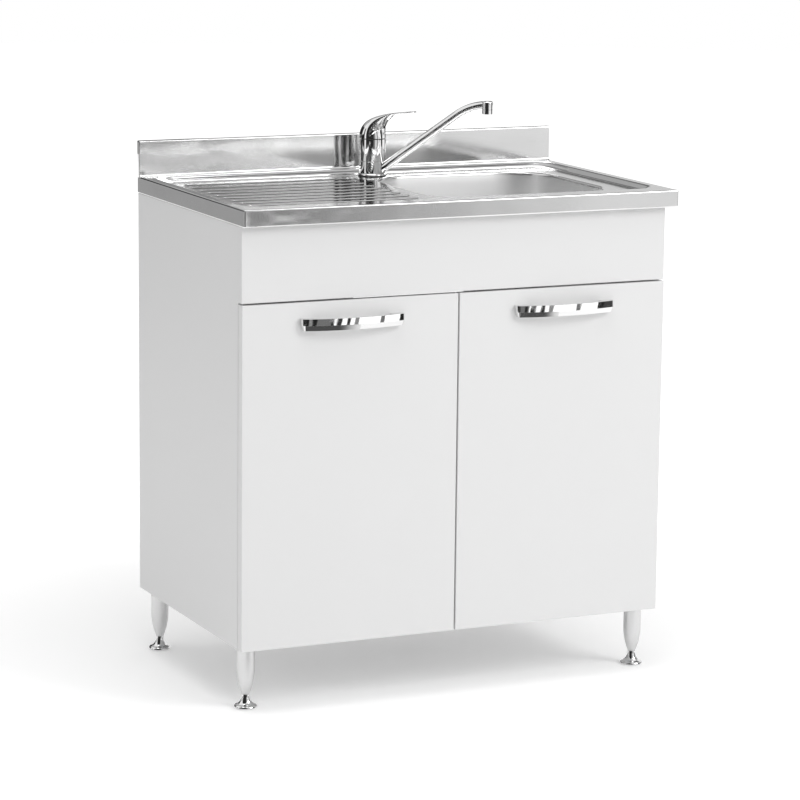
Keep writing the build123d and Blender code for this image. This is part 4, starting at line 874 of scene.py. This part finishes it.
class SINK_OT_spout(bpy.types.Operator):
    """Makes the spout: its collar, the bent tube and the nozzle"""

    bl_idname = "sink.spout"
    bl_label = "Spout"

    def execute(self, context):
        # Radius of the collar's bore, its foot and top, and where its eased edges start.
        bore, foot, top, edge = 17.08, 5.3, 26.3, tap_radius - eased
        collar_rings = (
            (bore, foot),
            (edge, foot),
            (tap_radius, foot + eased),
            (tap_radius, top - eased),
            (edge, top),
            (bore, top),
            (bore, foot),
        )
        collar = [level_ring(*ring) for ring in collar_rings]
        tube, end = self.tube()
        # Radii of the nozzle's mouth, outside and rounded crown, and how far it reaches up and down.
        mouth, outer, crown, rise, drop = 7.8, 9.8, 4, 3, 8
        lower = end.y - drop
        nozzle_rings = [(pinhole, end.y), (mouth, end.y), (mouth, lower)]
        nozzle_rings += [(outer - eased, lower), (outer, lower + eased)]
        for degrees in range(0, 91, 15):
            turn = radians(degrees)
            nozzle_rings.append((outer - crown + crown * cos(turn), end.y + rise + crown * sin(turn)))
        nozzle_rings.append((pinhole, end.y + rise + crown + 0.05))
        nozzle = [level_ring(radius, up, out=end.x) for radius, up in nozzle_rings]
        spout = new_piece("spout_tube", loop_mesh("spout_tube", collar, tube, nozzle, solid=True))
        finish_piece(spout, "spout", "polished_chrome", "spout")
        return {"FINISHED"}

    def tube(self):
        """Rings from inside the collar's wall to inside the nozzle's, and the place where the tube ends."""
        slope, end_slope, last_ring = radians(35.2), radians(2), radians(7.5)
        straight, bend = 177.5, 111.0
        radius, taper = 8.3, 1.5
        collar_wall, nozzle_wall = 20.3, 8.8
        root = Vector((21, 15))
        way = Vector((cos(slope), sin(slope)))
        middle = root + way * straight + Vector((sin(slope), -cos(slope))) * bend
        end = middle + Vector((-sin(end_slope), cos(end_slope))) * bend
        whole = straight + bend * (slope - end_slope)
        stations = [(root + way * along, slope, along) for along in range(8, 178, 13)]
        bend_rings = 30
        for i in range(bend_rings + 1):
            angle = slope + (last_ring - slope) * i / bend_rings
            place = middle + Vector((-sin(angle), cos(angle))) * bend
            stations.append((place, angle, straight + bend * (slope - angle)))
        loops = [[self.slid(spot, slope, 0, collar_wall, 1) for spot in self.ring(root, slope, radius)]]
        loops += [self.ring(place, angle, radius - taper * along / whole) for place, angle, along in stations]
        loops.append([self.slid(spot, radians(5), end.x, nozzle_wall, -1) for spot in loops[-1]])
        return [[by_tap(*spot) for spot in loop] for loop in loops], end

    def ring(self, place, angle, radius):
        """A ring across the tube as out, aside and up."""
        spots = [(radius * cos(turn), radius * sin(turn)) for turn in ring_turns]
        return [(place.x - over * sin(angle), aside, place.y + over * cos(angle)) for over, aside in spots]

    def slid(self, spot, angle, centre, radius, side):
        """A ring's point slid along the tube to an upright round wall."""
        out, aside, up = spot
        wall = centre + side * sqrt(radius**2 - aside**2)
        return (wall, aside, up + (wall - out) * tan(angle))


# ================================================================ finishes of what the frame keeps
class SINK_OT_finishes(bpy.types.Operator):
    """Paints every node of the frame with the finish of its slot"""

    bl_idname = "sink.finishes"
    bl_label = "Finishes"

    def execute(self, context):
        finishes.update(make_finishes())
        for name, node in nodes.items():
            use_finish(node, slot_of[name])
        return {"FINISHED"}


# ================================================================ stage
def direct_rays(graph):
    """1 where the camera, metal or glass looks, 0 where light is gathered."""
    kinds = ("Is Camera Ray", "Is Glossy Ray", "Is Transmission Ray")
    camera, metal, glass = [graph.add("ShaderNodeLightPath", output=kind) for kind in kinds]
    either = camera.math("MAXIMUM", camera, metal)
    return either.math("MAXIMUM", either, glass)


class SINK_OT_stage(bpy.types.Operator):
    """Sets the floor, the lights, the cards that metal reflects and the camera"""

    bl_idname = "sink.stage"
    bl_label = "Stage"

    def execute(self, context):
        context.scene.view_settings.view_transform = "Standard"
        self.make_floor()
        self.make_world()
        self.make_lamps()
        # Each card with its start and end in degrees round the set, its bottom, its top and its tone.
        cards = (
            ("card_behind", 48, 74, 0.9, 2.0, 0.7),
            ("card_behind_high", 40, 74, 2.0, 3.4, 0.2),
            ("card_behind_left", 74, 140, 0.5, 1.9, 0.03),
            ("card_behind_left_high", 74, 132, 1.9, 3.4, 0.5),
            ("card_behind_left_low", 74, 140, 0.0, 0.5, 0.42),
            ("card_left_dark", 158, 170, 0.0, 1.4, 0.06),
            ("card_camera_side", 184, 256, 0.0, 10.0, 0.03),
            ("card_front", 256, 272, 0.0, 3.4, 0.3),
            ("card_front_step", 280, 291.5, 1.0, 5.0, 0.4),
            ("card_front_right", 320, 344, 0.0, 3.4, 0.07),
            ("card_right", 352, 372, 0.8, 3.4, 0.3),
        )
        for card in cards:
            self.make_card(*card)
        self.make_card("card_front_low", 282, 318, 0.2, 0.52, 0.22, fade=(1.1, 2.1))
        # Narrow upright slats that the handles' fronts reflect as stripes: start, end and tone.
        slats = (
            (254, 257, 0.02),
            (259, 261.5, 0.02),
            (261.5, 270, 0.2),
            (270, 272, 0.02),
            (274, 277, 0.02),
            (280, 282.5, 0.02),
            (285, 288, 0.3),
            (303, 306, 0.2),
            (318, 322, 0.02),
        )
        slat_top, slat_radius = 0.34, 2.5
        for i, (start, end, tone) in enumerate(slats):
            self.make_card(f"card_slat_{i}", start, end, 0.0, slat_top, tone, radius=slat_radius)
        self.make_flat_card("card_ceiling", (1.6, 2.2, 3.4), (4.6, 3.8), 0.2)
        self.make_flat_card("card_floor_left", (-0.17, -0.64, 0.004), (0.66, 0.28), 0.09, fade=(-0.04, 0.16))
        self.make_flat_card("card_floor_right", (0.28, -0.724, 0.006), (0.38, 0.112), 0.09, fade=(0.33, 0.47))
        self.make_camera()
        return {"FINISHED"}

    def make_floor(self):
        """A round pale floor that turns pure white away from the unit."""
        mesh = bpy.data.meshes.new("floor")
        work = bmesh.new()
        floor_radius = 14
        bmesh.ops.create_circle(work, cap_ends=True, segments=64, radius=floor_radius)
        work.to_mesh(mesh)
        work.free()
        floor = new_piece("floor", mesh)
        paint = Paint("pale_floor", Roughness=0.9, Specular_IOR_Level=0.0, Emission_Strength=1.0)
        paint.feed("Base Color", paint.blend(paint.noise(2), grey(0.955), grey(0.965)))
        away = paint.add("ShaderNodeVectorMath", [paint.place()], output="Value", operation="LENGTH")
        near, far, near_glow, more_glow = 0.55, 1.9, 0.2, 0.38
        glow = direct_rays(paint) * (away.between(near, far) * more_glow + near_glow)
        paint.feed("Emission Color", paint.blend(glow, (0, 0, 0), (1, 1, 1)))
        floor.data.materials.append(paint.material)

    def make_world(self):
        """White all round, softer where it lights than where it shows."""
        world = bpy.data.worlds.new("studio")
        world.use_nodes = True
        bpy.context.scene.world = world
        graph = Graph(world.node_tree)
        lighting = 0.58
        strength = direct_rays(graph) * (1 - lighting) + lighting
        background = world.node_tree.nodes["Background"]
        background.inputs["Color"].default_value = (1, 1, 1, 1)
        world.node_tree.links.new(strength.socket, background.inputs["Strength"])

    def make_lamps(self):
        """A large key light from the front right and a weaker one overhead."""
        lamps = (
            ("key", (2.6, -3.4, 3.4), (0, 0, 0.5), 2.2, 92),
            ("top", (-0.5, -0.4, 3.3), (0, 0, 0.6), 2.0, 36),
        )
        for name, place, aim, size, power in lamps:
            lamp = bpy.data.lights.new(name, "AREA")
            lamp.size = size
            lamp.energy = power
            holder = bpy.data.objects.new(name, lamp)
            holder.location = place
            holder.rotation_euler = (Vector(aim) - Vector(place)).to_track_quat("-Z", "Y").to_euler()
            bpy.context.scene.collection.objects.link(holder)

    def make_card(self, name, start, end, low, high, tone, radius=4.0, fade=None):
        """A curved card round the set, from start to end degrees, which only shows in metal."""
        steps = 16
        turns = [radians(start + (end - start) * i / steps) for i in range(steps + 1)]
        loops = [[(radius * cos(turn), radius * sin(turn), z) for turn in turns] for z in (low, high)]
        self.finish_card(new_piece(name, loop_mesh(name, loops, closed=False)), tone, fade)

    def make_flat_card(self, name, middle, size, tone, fade=None):
        """A level card over or under the set, which only shows in metal."""
        x, y, z = middle
        half_x, half_y = size[0] / 2, size[1] / 2
        loops = [[(x - half_x, y + side * half_y, z), (x + half_x, y + side * half_y, z)] for side in (-1, 1)]
        self.finish_card(new_piece(name, loop_mesh(name, loops, closed=False)), tone, fade)

    def finish_card(self, card, tone, fade):
        """Paints a card with a glow, which may fade to near white between two places along X."""
        paint = Paint(card.name, Roughness=1.0, Emission_Strength=1.0, Specular_IOR_Level=0.0)
        paint.shader.inputs["Base Color"].default_value = (0, 0, 0, 1)
        paint.shader.inputs["Emission Color"].default_value = (tone, tone, tone, 1)
        near_white = 0.95
        if fade:
            share = paint.place_along("X").between(*fade)
            paint.feed("Emission Color", paint.blend(share, (tone,) * 3, (near_white,) * 3))
        card.data.materials.append(paint.material)
        card.visible_camera = False
        card.visible_diffuse = False
        card.visible_shadow = False

    def make_camera(self):
        """The camera that the photo's perspective was fitted to."""
        azimuth, elevation, roll = radians(-24.759), radians(10.672), radians(0.629)
        distance, focal_pixels, frame_pixels = 5.6846, 3249.6, 800
        target = Vector((-0.00434, 0.00988, 0.46799))
        back = Vector((sin(azimuth) * cos(elevation), -cos(azimuth) * cos(elevation), sin(elevation)))
        right = Vector((cos(azimuth), sin(azimuth), 0))
        up = back.cross(right)
        tilted_right = right * cos(roll) + up * sin(roll)
        tilted_up = up * cos(roll) - right * sin(roll)
        data = bpy.data.cameras.new("camera")
        data.sensor_width = 36
        data.lens = focal_pixels / frame_pixels * data.sensor_width
        data.clip_start, data.clip_end = 0.1, 100
        camera = bpy.data.objects.new("camera", data)
        turned = Matrix((tilted_right, tilted_up, back)).transposed().to_4x4()
        camera.matrix_world = Matrix.Translation(target + back * distance) @ turned
        bpy.context.scene.collection.objects.link(camera)
        bpy.context.scene.camera = camera


# ================================================================ panel and registration
operators = (
    SINK_OT_finishes,
    SINK_OT_pressing,
    SINK_OT_ribs,
    SINK_OT_boards,
    SINK_OT_chrome,
    SINK_OT_lever,
    SINK_OT_spout,
    SINK_OT_stage,
)


class SINK_PT_panel(bpy.types.Panel):
    """Shows the settings of the sink unit and the buttons that make its pieces."""

    bl_label = "Sink Unit"
    bl_idname = "SINK_PT_panel"
    bl_space_type = "VIEW_3D"
    bl_region_type = "UI"
    bl_category = "Sink Unit"

    def draw(self, context):
        for settings in (context.scene.sink_pressing, context.scene.sink_finish):
            for name in settings.bl_rna.properties.keys():
                if name not in ("rna_type", "name"):
                    self.layout.prop(settings, name)
        for operator in operators:
            self.layout.operator(operator.bl_idname)


classes = (PressingSettings, FinishSettings, *operators, SINK_PT_panel)


def register():
    for kind in classes:
        bpy.utils.register_class(kind)
    bpy.types.Scene.sink_pressing = PointerProperty(type=PressingSettings)
    bpy.types.Scene.sink_finish = PointerProperty(type=FinishSettings)


def unregister():
    del bpy.types.Scene.sink_finish
    del bpy.types.Scene.sink_pressing
    for kind in reversed(classes):
        bpy.utils.unregister_class(kind)


def main():
    register()
    for operator in operators:
        group, name = operator.bl_idname.split(".")
        getattr(getattr(bpy.ops, group), name)()


if __name__ == "__main__":
    main()
